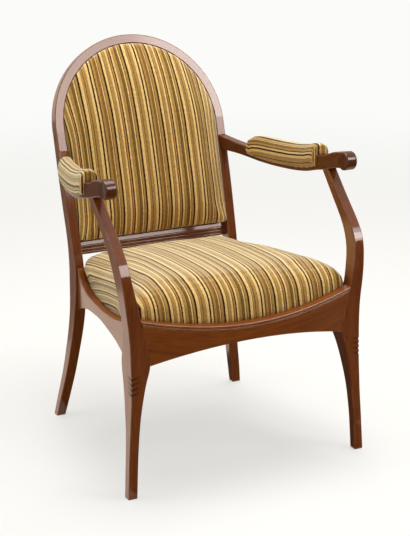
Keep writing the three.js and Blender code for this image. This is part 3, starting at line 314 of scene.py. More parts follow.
# Skin over rings of points. The grain attribute holds the way along the piece and the place in
# its section, so that the grain of the wood follows the piece.
def skin(name, rings, sections=None, sharp=38):
    rings, sections = filled(rings, sections)
    count, size = rings.shape[:2]
    middles = rings.mean(axis=1)
    along = np.concatenate([[0], np.cumsum(np.linalg.norm(np.diff(middles, axis=0), axis=1))])
    faces = [tuple(range(size))[::-1], tuple(range((count - 1) * size, count * size))]
    for i in range(count - 1):
        for k in range(size):
            a, b = i * size + k, i * size + (k + 1) % size
            faces.append((a, b, b + size, a + size))
    mesh = bpy.data.meshes.new(name)
    mesh.from_pydata(rings.reshape(-1, 3).tolist(), [], faces)
    shell = bmesh.new()
    shell.from_mesh(mesh)
    bmesh.ops.recalc_face_normals(shell, faces=shell.faces)
    shell.to_mesh(mesh)
    shell.free()
    place = np.zeros((count, size, 3))
    place[:, :, 0] = along[:, None]
    place[:, :, 1:] = sections if sections is not None else (rings - middles[:, None])[:, :, 1:]
    grain = mesh.attributes.new("grain", "FLOAT_VECTOR", "POINT")
    grain.data.foreach_set("vector", place.reshape(-1))
    outline = sections if sections is not None else rings
    steps = np.roll(outline, -1, axis=1) - outline
    length = np.linalg.norm(steps, axis=2, keepdims=True)
    ways = steps / np.maximum(length, 1e-9)
    bend = np.linalg.norm(ways - np.roll(ways, 1, axis=1), axis=2)
    edge = mesh.attributes.new("edge", "FLOAT", "POINT")
    edge.data.foreach_set("value", np.clip(bend / 0.5, 0, 1).reshape(-1))
    mesh.shade_smooth()
    mesh.set_sharp_from_angle(angle=math.radians(sharp))
    return mesh


def mirroredMesh(mesh, name):
    copy = mesh.copy()
    copy.name = name
    copy.transform(Matrix.Scale(-1, 4, (1, 0, 0)))
    copy.flip_normals()
    return copy


def joined(name, meshes):
    shell = bmesh.new()
    for mesh in meshes:
        shell.from_mesh(mesh)
    whole = meshes[0].copy()
    whole.name = name
    shell.to_mesh(whole)
    shell.free()
    return whole


def addPiece(name, mesh, material, nodes):
    piece = bpy.data.objects.new(name, mesh)
    scene.collection.objects.link(piece)
    mesh.materials.clear()
    mesh.materials.append(material)
    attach(piece, "root")
    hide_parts(*nodes)
    return piece


def addPair(stem, mesh, material, nodes):
    for side, made in (("left", mesh), ("right", mirroredMesh(mesh, f"{stem}_right"))):
        addPiece(f"{stem}_wood_{side}", made, material, [f"{node}_{side}" for node in nodes])


# Legs
legLook = {
    "edgeRadius": 0.0019,
    "footBevel": 0.0012,
    "notchHeights": (0.2845, 0.2725, 0.2605, 0.2485),
    "notchReach": 0.021,
    "notchDepth": 0.0024,
    "notchRise": 0.0016,
    "notchFade": 0.0060,
    "notchSlant": 0.33,
    "intoArm": 0.679,
}
crest = {"tilt": math.radians(21.6), "outer": 0.234, "width": 0.023, "thickness": 0.026, "edgeRadius": 0.0019}

frontLegRun = Run("front_leg_left", 2, 0.0005, 0.644)
rearLegRun = Run("rear_leg_left", 2, 0.0005, 0.712)


def notchedPoint(x, y, z, outer, front):
    back = max(outer - x, y - front)
    fade = max(0.0, 1 - back / legLook["notchReach"]) ** 0.8
    depth = 0.0
    for height in legLook["notchHeights"]:
        below = height + legLook["notchSlant"] * back - z
        if 0 >= below > -legLook["notchRise"]:
            depth = max(depth, 1 + below / legLook["notchRise"])
        elif 0 < below < legLook["notchFade"]:
            depth = max(depth, (1 - below / legLook["notchFade"]) ** 1.4)
    push = legLook["notchDepth"] * depth * fade * math.sqrt(0.5)
    return (x - push, y + push, z)


def frontLegMesh():
    bevel = legLook["footBevel"]
    heights = [0, bevel * 0.4, bevel, *np.arange(0.006, 0.230, 0.006), *np.arange(0.232, 0.296, 0.0008),
               *np.arange(0.298, legLook["intoArm"], 0.006)]
    rings, sections = [], []
    for height in heights:
        inner, outer, front, rear = frontLegRun.at(height)
        inset = bevel * (1 - math.sqrt(max(0.0, 1 - (1 - min(height / bevel, 1)) ** 2)))
        ring = roundedRing(inner + inset, outer - inset, front + inset, rear - inset, legLook["edgeRadius"], 12)
        rings.append([notchedPoint(x, y, height, outer, front) for x, y in ring])
        sections.append(ring)
    mesh = skin("front_leg", rings, sections)
    # The notches carry painted shade, darker the deeper the cut
    cut = np.linalg.norm(np.array(rings)[:, :, :2] - np.array(sections), axis=2) / legLook["notchDepth"]
    carved = mesh.attributes.new("carved", "FLOAT", "POINT")
    carved.data.foreach_set("value", np.clip(cut * 1.6, 0, 1).reshape(-1))
    return mesh


def rearLegMesh():
    bevel = legLook["footBevel"]
    top = crestSpring().z
    heights = [0, bevel * 0.4, bevel, *np.arange(0.006, top, 0.006), top]
    rings, sections = [], []
    for height in heights:
        front = rearLegRun.at(height)[2]
        lean = math.tan(crest["tilt"]) * smoothShare(height, 0.46, 0.70)
        depth = 0.03
        for _ in range(4):
            depth = rearLegRun.at(height - depth * lean)[3] - front
        inner, outer = rearLegRun.at(height - depth * lean / 2)[:2]
        share = smoothShare(height, top - 0.05, top)
        inner += share * (crest["outer"] - crest["width"] - inner)
        outer += share * (crest["outer"] - outer)
        depth += share * (crest["thickness"] * math.cos(crest["tilt"]) - depth)
        inset = bevel * (1 - math.sqrt(max(0.0, 1 - (1 - min(height / bevel, 1)) ** 2)))
        ring = roundedRing(inner + inset, outer - inset, inset, depth - inset, legLook["edgeRadius"], 8)
        rings.append([(x, front + back, height - back * lean) for x, back in ring])
        sections.append(ring)
    return skin("rear_leg", rings, sections)


def smoothShare(value, start, end):
    share = min(max((value - start) / (end - start), 0.0), 1.0)
    return share * share * (3 - 2 * share)


def crestSpring():
    height = 0.95 - crest["outer"] * math.cos(crest["tilt"])
    return Vector((0, rearLegRun.at(height)[2], height))


def crestMesh():
    spring = crestSpring()
    up = Vector((0, math.sin(crest["tilt"]), math.cos(crest["tilt"])))
    back = Vector((0, math.cos(crest["tilt"]), -math.sin(crest["tilt"])))
    ring = roundedRing(crest["outer"] - crest["width"], crest["outer"], 0, crest["thickness"],
                       crest["edgeRadius"], 8)
    rings = []
    for turn in np.linspace(0, math.pi, 121):
        rings.append([spring + Vector((radius * math.cos(turn), 0, 0)) + up * (radius * math.sin(turn))
                      + back * depth for radius, depth in ring])
    return skin("crest_arch", rings, [ring] * len(rings))


# Arms
armLook = {
    "edgeRadius": 0.0034,
    "showWood": 0.010,
    "coverInset": 0.0035,
    "rollRadius": 0.022,
    "rollProud": 0.0015,
    "rollRound": 0.0045,
    "rollDarkening": 0.4,
}
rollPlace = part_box("arm_left")[0].y + armLook["rollRadius"]
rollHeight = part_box("arm_left")[1].z - armLook["rollRadius"]
armRun = Run("arm_left", 1, rollPlace + 0.025, rearLegRun.at(0.66)[2] - 0.004, 0.007)


def armRing(place, inset):
    inner, outer, bottom, top = armRun.at(place)
    radius = armLook["edgeRadius"]
    step = bottom + armLook["showWood"]

    def arc(across, up, start):
        turns = [math.radians(start + 90 * k / 4) for k in range(5)]
        return [(across + radius * math.cos(turn), up + radius * math.sin(turn)) for turn in turns]

    ring = arc(inner + radius, bottom + radius, 180) + arc(outer - radius, bottom + radius, 270)
    ring += [(outer, step), (outer - inset, step + 0.0003)]
    ring += arc(outer - inset - radius, top - radius, 0) + arc(inner + inset + radius, top - radius, 90)
    return ring + [(inner + inset, step + 0.0003), (inner, step)]


def armMesh():
    padStart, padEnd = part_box("arm_pad_left")[0].y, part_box("arm_pad_left")[1].y
    places = [(place, 0) for place in np.arange(rollPlace, padStart - 0.002, 0.006)]
    places += [(padStart - 0.0004, 0), (padStart, armLook["coverInset"])]
    places += [(place, armLook["coverInset"]) for place in np.arange(padStart + 0.006, padEnd - 0.002, 0.006)]
    places += [(padEnd, armLook["coverInset"]), (padEnd + 0.0004, 0)]
    end = rearLegRun.at(0.67)[2]
    places += [(place, 0) for place in [*np.arange(padEnd + 0.006, end - 0.003, 0.006), end]]
    rings, sections = [], []
    for place, inset in places:
        ring = armRing(place, inset)
        share = smoothShare(place, end - 0.05, end)
        rings.append([(x, place + share * (rearLegRun.at(z)[2] - end - 0.0002), z) for x, z in ring])
        middle = np.mean(ring, axis=0)
        sections.append(np.array(ring) - middle)
    return darkened(skin("arm", rings, sections), 0)


def darkened(mesh, share):
    carved = mesh.attributes.new("carved", "FLOAT", "POINT")
    carved.data.foreach_set("value", np.full(len(mesh.vertices), float(share)))
    return mesh


def rollMesh():
    inner, outer = armRun.at(rollPlace)[:2]
    inner, outer = inner - armLook["rollProud"], outer + armLook["rollProud"]
    rounded = armLook["rollRound"]
    ends = [rounded * (1 - math.cos(turn)) for turn in np.linspace(0, math.pi / 2, 7)]
    stations = [inner + depth for depth in ends] + list(np.linspace(inner + rounded, outer - rounded, 5)[1:-1])
    stations += [outer - depth for depth in ends[::-1]]
    rings = []
    for x in stations:
        depth = min(x - inner, outer - x, rounded)
        radius = armLook["rollRadius"] - rounded + math.sqrt(rounded ** 2 - (rounded - depth) ** 2)
        rings.append([(x, rollPlace + radius * math.cos(turn), rollHeight + radius * math.sin(turn))
                      for turn in np.linspace(0, 2 * math.pi, 49)[:-1]])
    # The roll is painted darker all over, with less coat and sheen
    return darkened(skin("arm_roll", rings), armLook["rollDarkening"])


# Seat rails and the lower back rail
railLook = {
    "beadRadius": 0.0036,
    "beadProud": 0.002,
    "ledge": 0.022,
    "sideLedge": 0.020,
    "stepDrop": 0.011,
    "apron": 0.014,
    "edgeRadius": 0.0016,
    "sideEdgeRadius": 0.0034,
    "webbingHeight": 0.346,
    "joint": 0.0002,
}


def quarter(across, up, radius, start, steps=4):
    turns = [math.radians(start + 90 * k / steps) for k in range(steps + 1)]
    return [(across + radius * math.cos(turn), up + radius * math.sin(turn)) for turn in turns]


def fitted(run, start, end, column):
    places = np.linspace(start, end, 60)
    return np.polyfit(places, [run.at(place)[column] for place in places], 2)


def beadPoints(front, top):
    points = []
    height = top
    for radius in (railLook["beadRadius"], railLook["beadRadius"] / 2):
        proud = railLook["beadProud"] * radius / railLook["beadRadius"]
        for turn in np.linspace(0, math.pi, 11):
            points.append((front - proud * math.sin(turn), height - radius * (1 - math.cos(turn))))
        height -= radius * 2 + 0.0006
        points.append((front + 0.0004, height + 0.0003))
    return points[::-1]


def frontRailMesh():
    run = Run("front_rail", 0, -0.244, 0.244, 0.004)
    front, rear, bottom, top = [fitted(run, -0.24, 0.24, column) for column in range(4)]
    rings, sections = [], []
    for share in np.linspace(-1, 1, 81):
        x = share * frontLegRun.at(0.40)[0]
        face = np.polyval(front, x) + railLook["beadProud"]
        low, high, inside = np.polyval(bottom, x), np.polyval(top, x), np.polyval(rear, x)
        under = max(railLook["webbingHeight"], low + 0.0003)
        radius = railLook["edgeRadius"]
        ring = [(face + railLook["apron"], low)] + quarter(face + radius, low + radius, radius, 270)[::-1]
        ring += beadPoints(face, high) + [(face + railLook["ledge"], high)]
        ring += [(face + railLook["ledge"], high - railLook["stepDrop"]), (inside, high - railLook["stepDrop"])]
        ring += [(inside, under), (face + railLook["apron"], under)]
        rings.append([(share * (frontLegRun.at(z)[0] - railLook["joint"]), y, z) for y, z in ring])
        sections.append([(y - face, z - high) for y, z in ring])
    return skin("front_rail", rings, sections)


def sideRailMesh():
    start, end = frontLegRun.at(0.37)[3], rearLegRun.at(0.38)[2]
    run = Run("side_rail_left", 1, frontLegRun.at(0.312)[3] + 0.004, end - 0.003, 0.004, 0.001)
    rings, sections = [], []
    for share in [*np.linspace(0, 0.86, 60), *np.linspace(0.87, 1, 30)]:
        y = start + share * (end - start)
        inner, outer, bottom, top = run.at(y)
        under = max(railLook["webbingHeight"] - 0.0021, bottom + 0.0003)
        radius, big = railLook["edgeRadius"], railLook["sideEdgeRadius"]
        ring = [(outer - railLook["apron"], bottom)] + quarter(outer - radius, bottom + radius, radius, 270)
        ring += quarter(outer - big, top - big, big, 0) + [(outer - railLook["sideLedge"], top)]
        ring += [(outer - railLook["sideLedge"], top - railLook["stepDrop"]), (inner, top - railLook["stepDrop"])]
        ring += [(inner, under), (outer - railLook["apron"], under)]
        placed = []
        for x, z in ring:
            first = frontLegRun.at(z)[3] + railLook["joint"]
            last = rearLegRun.at(z)[2] - railLook["joint"]
            placed.append((x, first + share * (last - first), z))
        rings.append(placed)
        sections.append([(x - outer, z - top) for x, z in ring])
    return skin("side_rail", rings, sections)


def rearRailMesh():
    run = Run("rear_rail", 0, -0.18, 0.18, 0.004)
    front, rear, bottom, top = [fitted(run, -0.17, 0.17, column) for column in range(4)]
    rings, sections = [], []
    for share in np.linspace(-1, 1, 61):
        x = share * rearLegRun.at(0.36)[0]
        face, outside = np.polyval(front, x), np.polyval(rear, x)
        low, high = np.polyval(bottom, x), np.polyval(top, x)
        under = max(railLook["webbingHeight"], low + 0.0003)
        radius = railLook["edgeRadius"]
        ring = [(face, under), (outside - railLook["apron"], under), (outside - railLook["apron"], low)]
        ring += quarter(outside - radius, low + radius, radius, 270) + quarter(outside - radius, high - radius, radius, 0)
        ring += [(face, high)]
        rings.append([(share * (rearLegRun.at(z)[0] - railLook["joint"]), y, z) for y, z in ring])
        sections.append([(y - outside, z - high) for y, z in ring])
    return skin("rear_rail", rings, sections)


backRail = {
    "bottom": 0.431,
    "height": 0.037,
    "thickness": 0.015,
    "setback": 0.019,
    "fluteWidth": 0.0054,
    "fluteDepth": 0.0022,
    "flutes": 3,
}


def backRailMesh():
    bottom, height = backRail["bottom"], backRail["height"]
    low = rearLegRun.at(bottom)[2] + backRail["setback"]
    lean = (rearLegRun.at(bottom + height)[2] - rearLegRun.at(bottom)[2]) / height
    radius = railLook["edgeRadius"]
    ring = [(radius, 0.0), (0.0003, radius * 0.5)]
    for number in range(backRail["flutes"]):
        start = backRail["fluteWidth"] * (0.5 + number * 1.35)
        for turn in np.linspace(0, math.pi, 11):
            rise = start + backRail["fluteWidth"] / 2 * (1 - math.cos(turn))
            ring.append((backRail["fluteDepth"] * math.sin(turn), rise))
    ring += quarter(radius, height - radius, radius, 180)[::-1]
    ring += [(backRail["thickness"], height), (backRail["thickness"], 0.0)]
    rings = []
    for share in np.linspace(-1, 1, 41):
        placed = []
        for back, rise in ring:
            z = bottom + rise
            placed.append((share * (rearLegRun.at(z)[0] - railLook["joint"]), low + rise * lean + back, z))
        rings.append(placed)
    return skin("back_lower_rail", rings, [ring] * len(rings))


showWood = woodMaterial("showWood")
railWood = woodMaterial("railWood")
addPair("front_leg", frontLegMesh(), showWood, ["front_leg"])
addPair("rear_leg", rearLegMesh(), showWood, ["rear_leg"])
addPiece("crest_wood", crestMesh(), showWood, ["crest_arch"])
addPair("arm", joined("arm", [armMesh(), rollMesh()]), woodMaterial("armWood"), ["arm"])
addPiece("front_rail_wood", frontRailMesh(), railWood, ["front_rail"])
addPair("side_rail", sideRailMesh(), railWood, ["side_rail"])
addPiece("rear_rail_wood", rearRailMesh(), railWood, ["rear_rail"])
addPiece("back_lower_rail_wood", backRailMesh(), railWood, ["back_lower_rail"])
print("wooden frame ready")


# Striped upholstery cloth. The weave attribute holds the way across the stripes, the way along
# them and how hard the cloth is pulled round an edge.
stripeLook = {
    "cream": (0.80, 0.54, 0.19),
    "straw": (0.42, 0.235, 0.058),
    "ochre": (0.25, 0.118, 0.020),
    "olive": (0.20, 0.108, 0.017),
    "tan": (0.44, 0.22, 0.055),
    "umber": (0.110, 0.046, 0.010),
    "line": (0.040, 0.012, 0.002),
    # Colour and share of the painted sheen on faces seen at a slant
    "paintedSheenColour": (0.90, 0.76, 0.48),
    "paintedSheenShare": 0.54,
    "scale": 0.92,
    "ribWidth": 0.0024,
    "ribSlant": 0.6,
    # Width in millimetres and colour of each band of one repeat
    "bands": [
        (4.6, "line"), (8, "cream"), (1.4, "ochre"), (5, "straw"), (1.6, "umber"), (9, "straw"),
        (7, "cream"), (4.2, "line"), (5, "cream"), (1.6, "ochre"), (2.6, "umber"), (6, "straw"), (8, "ochre"),
        (2.4, "cream"), (1.6, "umber"), (7, "straw"), (5.2, "line"), (6, "cream"), (1.6, "olive"), (9, "straw"),
        (5, "cream"), (2.2, "umber"), (4, "tan"), (3.6, "line"), (4.6, "cream"), (9, "straw"), (1.6, "umber"),
        (7, "olive"), (3, "cream"), (1.8, "umber"), (6, "straw"),
    ],
}


def clothMaterial(name, lightness=1.0):
    material, recipe = newMaterial(name)
    weave = recipe.node("ShaderNodeAttribute", {"attribute_name": "weave"}, None, "Vector")
    across = recipe.node("ShaderNodeSeparateXYZ", None, {"Vector": weave}, "X")
    along = recipe.node("ShaderNodeSeparateXYZ", None, {"Vector": weave}, "Y")
    threads = recipe.node("ShaderNodeMapping", None, {"Vector": weave, "Scale": (520, 14, 1)})
    yarn = recipe.noise(threads, 1.0, 3, 0.7)
    fleck = recipe.noise(recipe.node("ShaderNodeMapping", None, {"Vector": weave, "Scale": (430, 150, 1)}), 1.0, 3)
    drift = recipe.noise(recipe.node("ShaderNodeMapping", None, {"Vector": weave, "Scale": (30, 5, 1)}), 1.0, 2)
    wander = (drift - 0.5) * 0.0016 + (yarn - 0.5) * 0.0008 + (fleck - 0.5) * 0.0012
    repeat = sum(width for width, colour in stripeLook["bands"])
    repeats = (across + wander) / (repeat * stripeLook["scale"] / 1000) + 20
    place = repeats.maths("FRACT", repeats)
    stops, start = [], 0.0
    for width, colour in stripeLook["bands"]:
        stops.append((start / repeat, stripeLook[colour]))
        start += width
    bands = recipe.node("ShaderNodeValToRGB", {"stops": stops}, {"Fac": place}, "Color")
    turns = (across + along * stripeLook["ribSlant"]) * (2 * math.pi / stripeLook["ribWidth"])
    rib = turns.maths("SINE", turns)
    lift = (yarn - 0.5) * 0.8 + rib * 0.08 + (fleck - 0.5) * 1.2 + 0.5
    shaded = recipe.node("ShaderNodeMix", {"data_type": "RGBA", "blend_type": "MULTIPLY"},
                         {"Factor_Float": 1.0, "A_Color": bands,
                          "B_Color": recipe.blend(recipe.clamp(lift), (0.52, 0.47, 0.40), (1.42, 1.45, 1.55))},
                         "Result_Color")
    # Faces seen at a slant, the seat's top most of all, are painted paler towards a cream colour: a painted sheen, kept
    # off the dark lines
    facing = recipe.node("ShaderNodeLayerWeight", None, {"Blend": 0.5}, "Facing")
    bright = recipe.clamp(recipe.node("ShaderNodeSeparateColor", None, {"Color": bands}, "Red") * 1.7)
    paintedSheenShare = recipe.rise(facing, 0.2, 0.8) * stripeLook["paintedSheenShare"] * bright
    shaded = recipe.blend(paintedSheenShare, shaded, stripeLook["paintedSheenColour"])
    height = rib * 0.35 + yarn * 0.9 + fleck * 0.5
    bump = recipe.node("ShaderNodeBump", None, {"Height": height, "Strength": 0.55, "Distance": 0.0007})
    shader = recipe.node("ShaderNodeBsdfPrincipled", None, {
        "Base Color": shaded, "Roughness": 0.92, "Specular IOR Level": 0.15, "Sheen Weight": 0.6,
        "Sheen Roughness": 0.35, "Sheen Tint": (0.96, 0.90, 0.66), "Normal": bump})
    recipe.node("ShaderNodeOutputMaterial", None, {"Surface": shader})
    return material


# Cushions and pads start from their solids, are remeshed, relaxed and blown up a little as cloth
seatLook = {"voxel": 0.006, "relax": 1, "swell": 0.0016, "pressure": 4.0, "cap": 0.006, "hold": 0.012,
            "even": 26, "crown": 2, "dome": 26, "fill": 0.9, "cornerLift": 0.005, "cornerSpread": 0.010,
            "frontLift": 0.003, "frontSpread": 0.0065}
backLook = {"voxel": 0.006, "relax": 2, "swell": 0.0019, "pressure": 4.0, "cap": 0.006, "hold": 0.010,
            "even": 20, "crown": 1, "dome": 18, "fill": 0.8}
padLook = {"voxel": 0.0026, "relax": 1, "swell": 0.0006, "pressure": 1.0, "cap": 0.0010, "hold": 0.005,
           "even": 8, "crown": 2, "dome": 3, "fill": 0.85}


def cloned(node, name):
    mesh = bpy.data.objects[node].data.copy()
    shell = bmesh.new()
    shell.from_mesh(mesh)
    bmesh.ops.remove_doubles(shell, verts=shell.verts, dist=0.00001)
    shell.to_mesh(mesh)
    shell.free()
    made = bpy.data.objects.new(name, mesh)
    scene.collection.objects.link(made)
    return made


def applied(made):
    graph = bpy.context.evaluated_depsgraph_get()
    mesh = bpy.data.meshes.new_from_object(made.evaluated_get(graph))
    made.modifiers.clear()
    made.data = mesh
    return made


def placesOf(mesh):
    places = np.empty(len(mesh.vertices) * 3)
    mesh.vertices.foreach_get("co", places)
    return places.reshape(-1, 3)


def upholstered(node, name, look, isHeld):
    made = cloned(node, name)
    remesh = made.modifiers.new("remesh", "REMESH")
    remesh.mode = "VOXEL"
    remesh.voxel_size = look["voxel"]
    relax = made.modifiers.new("relax", "SMOOTH")
    relax.factor = 0.5
    relax.iterations = look["relax"]
    applied(made)
    if "cornerLift" in look:
        fillCorners(made, look)
    soften(made, look, isHeld)
    swell = made.modifiers.new("swell", "DISPLACE")
    swell.strength = look["swell"]
    swell.mid_level = 0
    applied(made)
    inflate(made, look, isHeld)
    round_ = made.modifiers.new("round", "SUBSURF")
    round_.levels = round_.render_levels = 1
    applied(made)
    made.data.shade_smooth()
    return made


# How far each point lies from the hidden side, which rests on the wood
def awayFromHeld(made, isHeld):
    places = placesOf(made.data)
    normals = np.array([vertex.normal[:] for vertex in made.data.vertices])
    seeds = np.nonzero([isHeld(place, normal) for place, normal in zip(places, normals)])[0]
    tree = KDTree(len(seeds))
    for k in seeds:
        tree.insert(places[k], int(k))
    tree.balance()
    return np.array([tree.find(place)[2] for place in places])


def evened(made, values, rounds, share=0.5):
    edges = np.empty(len(made.data.edges) * 2, dtype=int)
    made.data.edges.foreach_get("vertices", edges)
    first, second = edges.reshape(-1, 2).T
    count = np.bincount(edges, minlength=len(values))[:, None]
    for _ in range(rounds):
        total = np.zeros_like(values)
        np.add.at(total, first, values[second])
        np.add.at(total, second, values[first])
        values = values + (total / count - values) * share
    return values


# Wadding packed into the two rear corners of the seat, up to the stiles
def fillCorners(made, look):
    def rise(value, start, end):
        share = np.clip((value - start) / (end - start), 0, 1)
        return share ** 2 * (3 - 2 * share)

    places = placesOf(made.data)
    across, along, up = places.T
    high = rise(up, 0.385, 0.41)
    side = rise(np.abs(across), 0.17, 0.195)
    lift = look["cornerLift"] * rise(np.abs(across), 0.11, 0.19) * rise(along, 0.05, 0.14) * rise(up, 0.405, 0.435)
    spread = look["cornerSpread"] * side * high * rise(along, 0.0, 0.09) * (1 - rise(along, 0.138, 0.150))
    front = rise(-along, 0.16, 0.26) * rise(np.abs(across), 0.17, 0.25)
    lift += look["frontLift"] * front * rise(up, 0.405, 0.440)
    spread += look["frontSpread"] * front * rise(up, 0.405, 0.430)
    up += lift
    across += np.sign(across) * spread
    made.data.vertices.foreach_set("co", places.reshape(-1))
    made.data.update()


# Rounds the crown along its own direction, without moving the walls
def soften(made, look, isHeld):
    away = awayFromHeld(made, isHeld)
    axis = look["crown"]
    facing = np.array([abs(vertex.normal[axis]) for vertex in made.data.vertices])
    share = np.clip((away - look["hold"]) / 0.03, 0, 1) * np.clip((facing - 0.3) / 0.4, 0, 1) * 0.5
    places = placesOf(made.data)
    places[:, axis:axis + 1] = evened(made, places[:, axis:axis + 1], look["dome"], share[:, None])
    made.data.vertices.foreach_set("co", places.reshape(-1))
    made.data.update()


def inflate(made, look, isHeld):
    before = placesOf(made.data)
    held = np.nonzero(awayFromHeld(made, isHeld) < look["hold"])[0].tolist()
    group = made.vertex_groups.new(name="held")
    group.add(held, 1.0, "REPLACE")
    cloth = made.modifiers.new("cloth", "CLOTH")
    cloth.settings.quality = 4
    cloth.settings.mass = 0.3
    cloth.settings.use_pressure = True
    cloth.settings.uniform_pressure_force = look["pressure"]
    cloth.settings.effector_weights.gravity = 0
    cloth.settings.vertex_group_mass = "held"
    cloth.point_cache.frame_start = 1
    cloth.point_cache.frame_end = 20
    for frameNumber in range(1, 21):
        scene.frame_set(frameNumber)
    applied(made)
    scene.frame_set(1)
    after = placesOf(made.data)
    move = after - before
    length = np.linalg.norm(move, axis=1, keepdims=True)
    move *= np.minimum(1, look["cap"] / np.maximum(length, 1e-9))
    move = evened(made, move, look["even"])
    made.data.vertices.foreach_set("co", (before + move).reshape(-1))
    made.data.update()
    made.vertex_groups.clear()


def dressCloth(made, weaveAt, material, nodes):
    places = placesOf(made.data)
    weave = made.data.attributes.new("weave", "FLOAT_VECTOR", "POINT")
    weave.data.foreach_set("vector", np.array([weaveAt(*place) for place in places]).reshape(-1))
    made.data.materials.clear()
    made.data.materials.append(material)
    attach(made, "root")
    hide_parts(*nodes)


def spreadFrom(middle, across, drop):
    return across + math.copysign(drop, across) if abs(across) > 1e-6 else across


seatCrown = Run("seat_cushion", 1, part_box("seat_cushion")[0].y + 0.002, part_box("seat_cushion")[1].y - 0.002, 0.004)
seatFront = [np.polyval(fitted(Run("front_rail", 0, -0.244, 0.244, 0.004), -0.24, 0.24, 0), x)
             for x in np.linspace(-0.28, 0.28, 57)]


def seatWeave(x, y, z):
    front = float(np.interp(x, np.linspace(-0.28, 0.28, 57), seatFront)) + 0.024
    behind = smoothShare(y - front, 0.01, 0.17)
    drop = max(0.0, seatCrown.at(max(y, front + 0.03))[3] - 0.006 * (x / 0.27) ** 2 - z)
    wall = max(0.0, seatCrown.at(front + 0.05)[3] - z) * (1 - behind)
    return (spreadFrom(0, x, drop * behind), y - wall, 0)


backCrownRun = Run("back_cushion", 2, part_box("back_cushion")[0].z + 0.004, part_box("back_cushion")[1].z - 0.02, 0.006)


def backWeave(x, y, z):
    drop = max(0.0, y - backCrownRun.at(z)[2] - 0.002) * (1 - 0.8 * smoothShare(z, 0.70, 0.82))
    return (spreadFrom(0, x, drop) + 0.031, z, 0)


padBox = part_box("arm_pad_left")
padRun = Run("arm_pad_left", 1, padBox[0].y + 0.004, padBox[1].y - 0.004, 0.004)


def padWeave(side):
    def at(x, y, z):
        left, right, bottom, top = padRun.at(min(max(y, padBox[0].y + 0.01), padBox[1].y - 0.01))
        across = side * x - (left + right) / 2
        end = smoothShare(y, padBox[0].y + 0.001, padBox[0].y + 0.009)
        drop = max(0.0, top - z - 0.004)
        return (side * spreadFrom(0, across, drop * 0.9 * end) + 0.012 * side + 0.2, y - drop * (1 - end), 0)
    return at


def buildUpholstery():
    cloth = clothMaterial("stripedCloth")
    seat = upholstered("seat_cushion", "seat_cover", seatLook, lambda place, normal: normal[2] < -0.4)
    dressCloth(seat, seatWeave, cloth, ["seat_cushion"])
    print("seat ready")
    back = upholstered("back_cushion", "back_cover", backLook, lambda place, normal: normal[1] > 0.4)
    dressCloth(back, backWeave, cloth, ["back_cushion"])
    print("back ready")
    for side, sign in (("left", 1), ("right", -1)):
        pad = upholstered(f"arm_pad_{side}", f"arm_cover_{side}", padLook, lambda place, normal: normal[2] < -0.4)
        dressCloth(pad, padWeave(sign), cloth, [f"arm_pad_{side}"])
    print("arm pads ready")


buildUpholstery()


# Thin cloths on the outside of the back and under the seat, held by tacks
thinLook = {
    "thickness": 0.0012,
    "backColumns": 48,
    "backPucker": 0.0007,
    "coverSag": 0.0028,
    "tackPitch": 0.022,
    "tackRadius": 0.0032,
    "tackHeight": 0.0013,
    "tackInset": 0.0065,
    "underPitch": 0.034,
}


# Closed thin shell over rows of places with their outward directions
def sheetMesh(name, rows, outward, thickness):
    rows, outward = np.array(rows, dtype=float), np.array(outward, dtype=float)
    count, size = rows.shape[:2]
    points = np.concatenate([rows.reshape(-1, 3), (rows - outward * thickness).reshape(-1, 3)])
    total = count * size
    faces = []
    for i in range(count - 1):
        for k in range(size - 1):
            a = i * size + k
            faces.append((a, a + 1, a + size + 1, a + size))
            faces.append((a + total, a + size + total, a + size + 1 + total, a + 1 + total))
    border = list(range(size)) + [i * size + size - 1 for i in range(1, count)]
    border += [(count - 1) * size + k for k in range(size - 2, -1, -1)] + [i * size for i in range(count - 2, 0, -1)]
    for a, b in zip(border, border[1:] + border[:1]):
        faces.append((b, a, a + total, b + total))
    mesh = bpy.data.meshes.new(name)
    mesh.from_pydata(points.tolist(), [], faces)
    shell = bmesh.new()
    shell.from_mesh(mesh)
    bmesh.ops.recalc_face_normals(shell, faces=shell.faces)
    shell.to_mesh(mesh)
    shell.free()
    mesh.shade_smooth()
    mesh.set_sharp_from_angle(angle=math.radians(50))
    return mesh


def gridArea(rows):
    rows = np.array(rows, dtype=float)
    first = np.cross(rows[1:, :-1] - rows[:-1, :-1], rows[:-1, 1:] - rows[:-1, :-1])
    second = np.cross(rows[1:, :-1] - rows[1:, 1:], rows[:-1, 1:] - rows[1:, 1:])
    return float((np.linalg.norm(first, axis=2) + np.linalg.norm(second, axis=2)).sum() / 2)


def addSheet(name, rows, outward, material, node, slot):
    made = addPiece(name, sheetMesh(name, rows, outward, thinLook["thickness"]), material, [node])
    gridArea(rows)
    return made


panelRun = Run("back_panel", 2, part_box("back_panel")[0].z + 0.0005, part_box("back_panel")[1].z - 0.0008, 0.0015, 0.001, 0.002)


def backPanelRows():
    low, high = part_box("back_panel")[0].z + 0.0004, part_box("back_panel")[1].z - 0.0006
    heights = [*np.linspace(low, 0.80, 50), *(0.80 + (high - 0.80) * np.sin(np.linspace(0, math.pi / 2, 34)[1:]))]
    rows, outward = [], []
    for z in heights:
        half = panelRun.at(z)[1] - 0.0003
        slope = (panelRun.at(z + 0.006)[3] - panelRun.at(z - 0.006)[3]) / 0.012
        way = Vector((0, 1, -slope)).normalized()
        row = []
        for share in np.linspace(-1, 1, thinLook["backColumns"] + 1):
            x = share * half
            edge = min(half - abs(x), z - low, high - z)
            pucker = thinLook["backPucker"] * math.exp(-edge / 0.012)
            lift = pucker * math.cos(2 * math.pi * (x + z) / thinLook["tackPitch"]) * (1 - math.exp(-edge / 0.002))
            row.append((x, panelRun.at(z)[3] + lift, z))
        rows.append(row)
        outward.append([tuple(way)] * len(row))
    return rows, outward


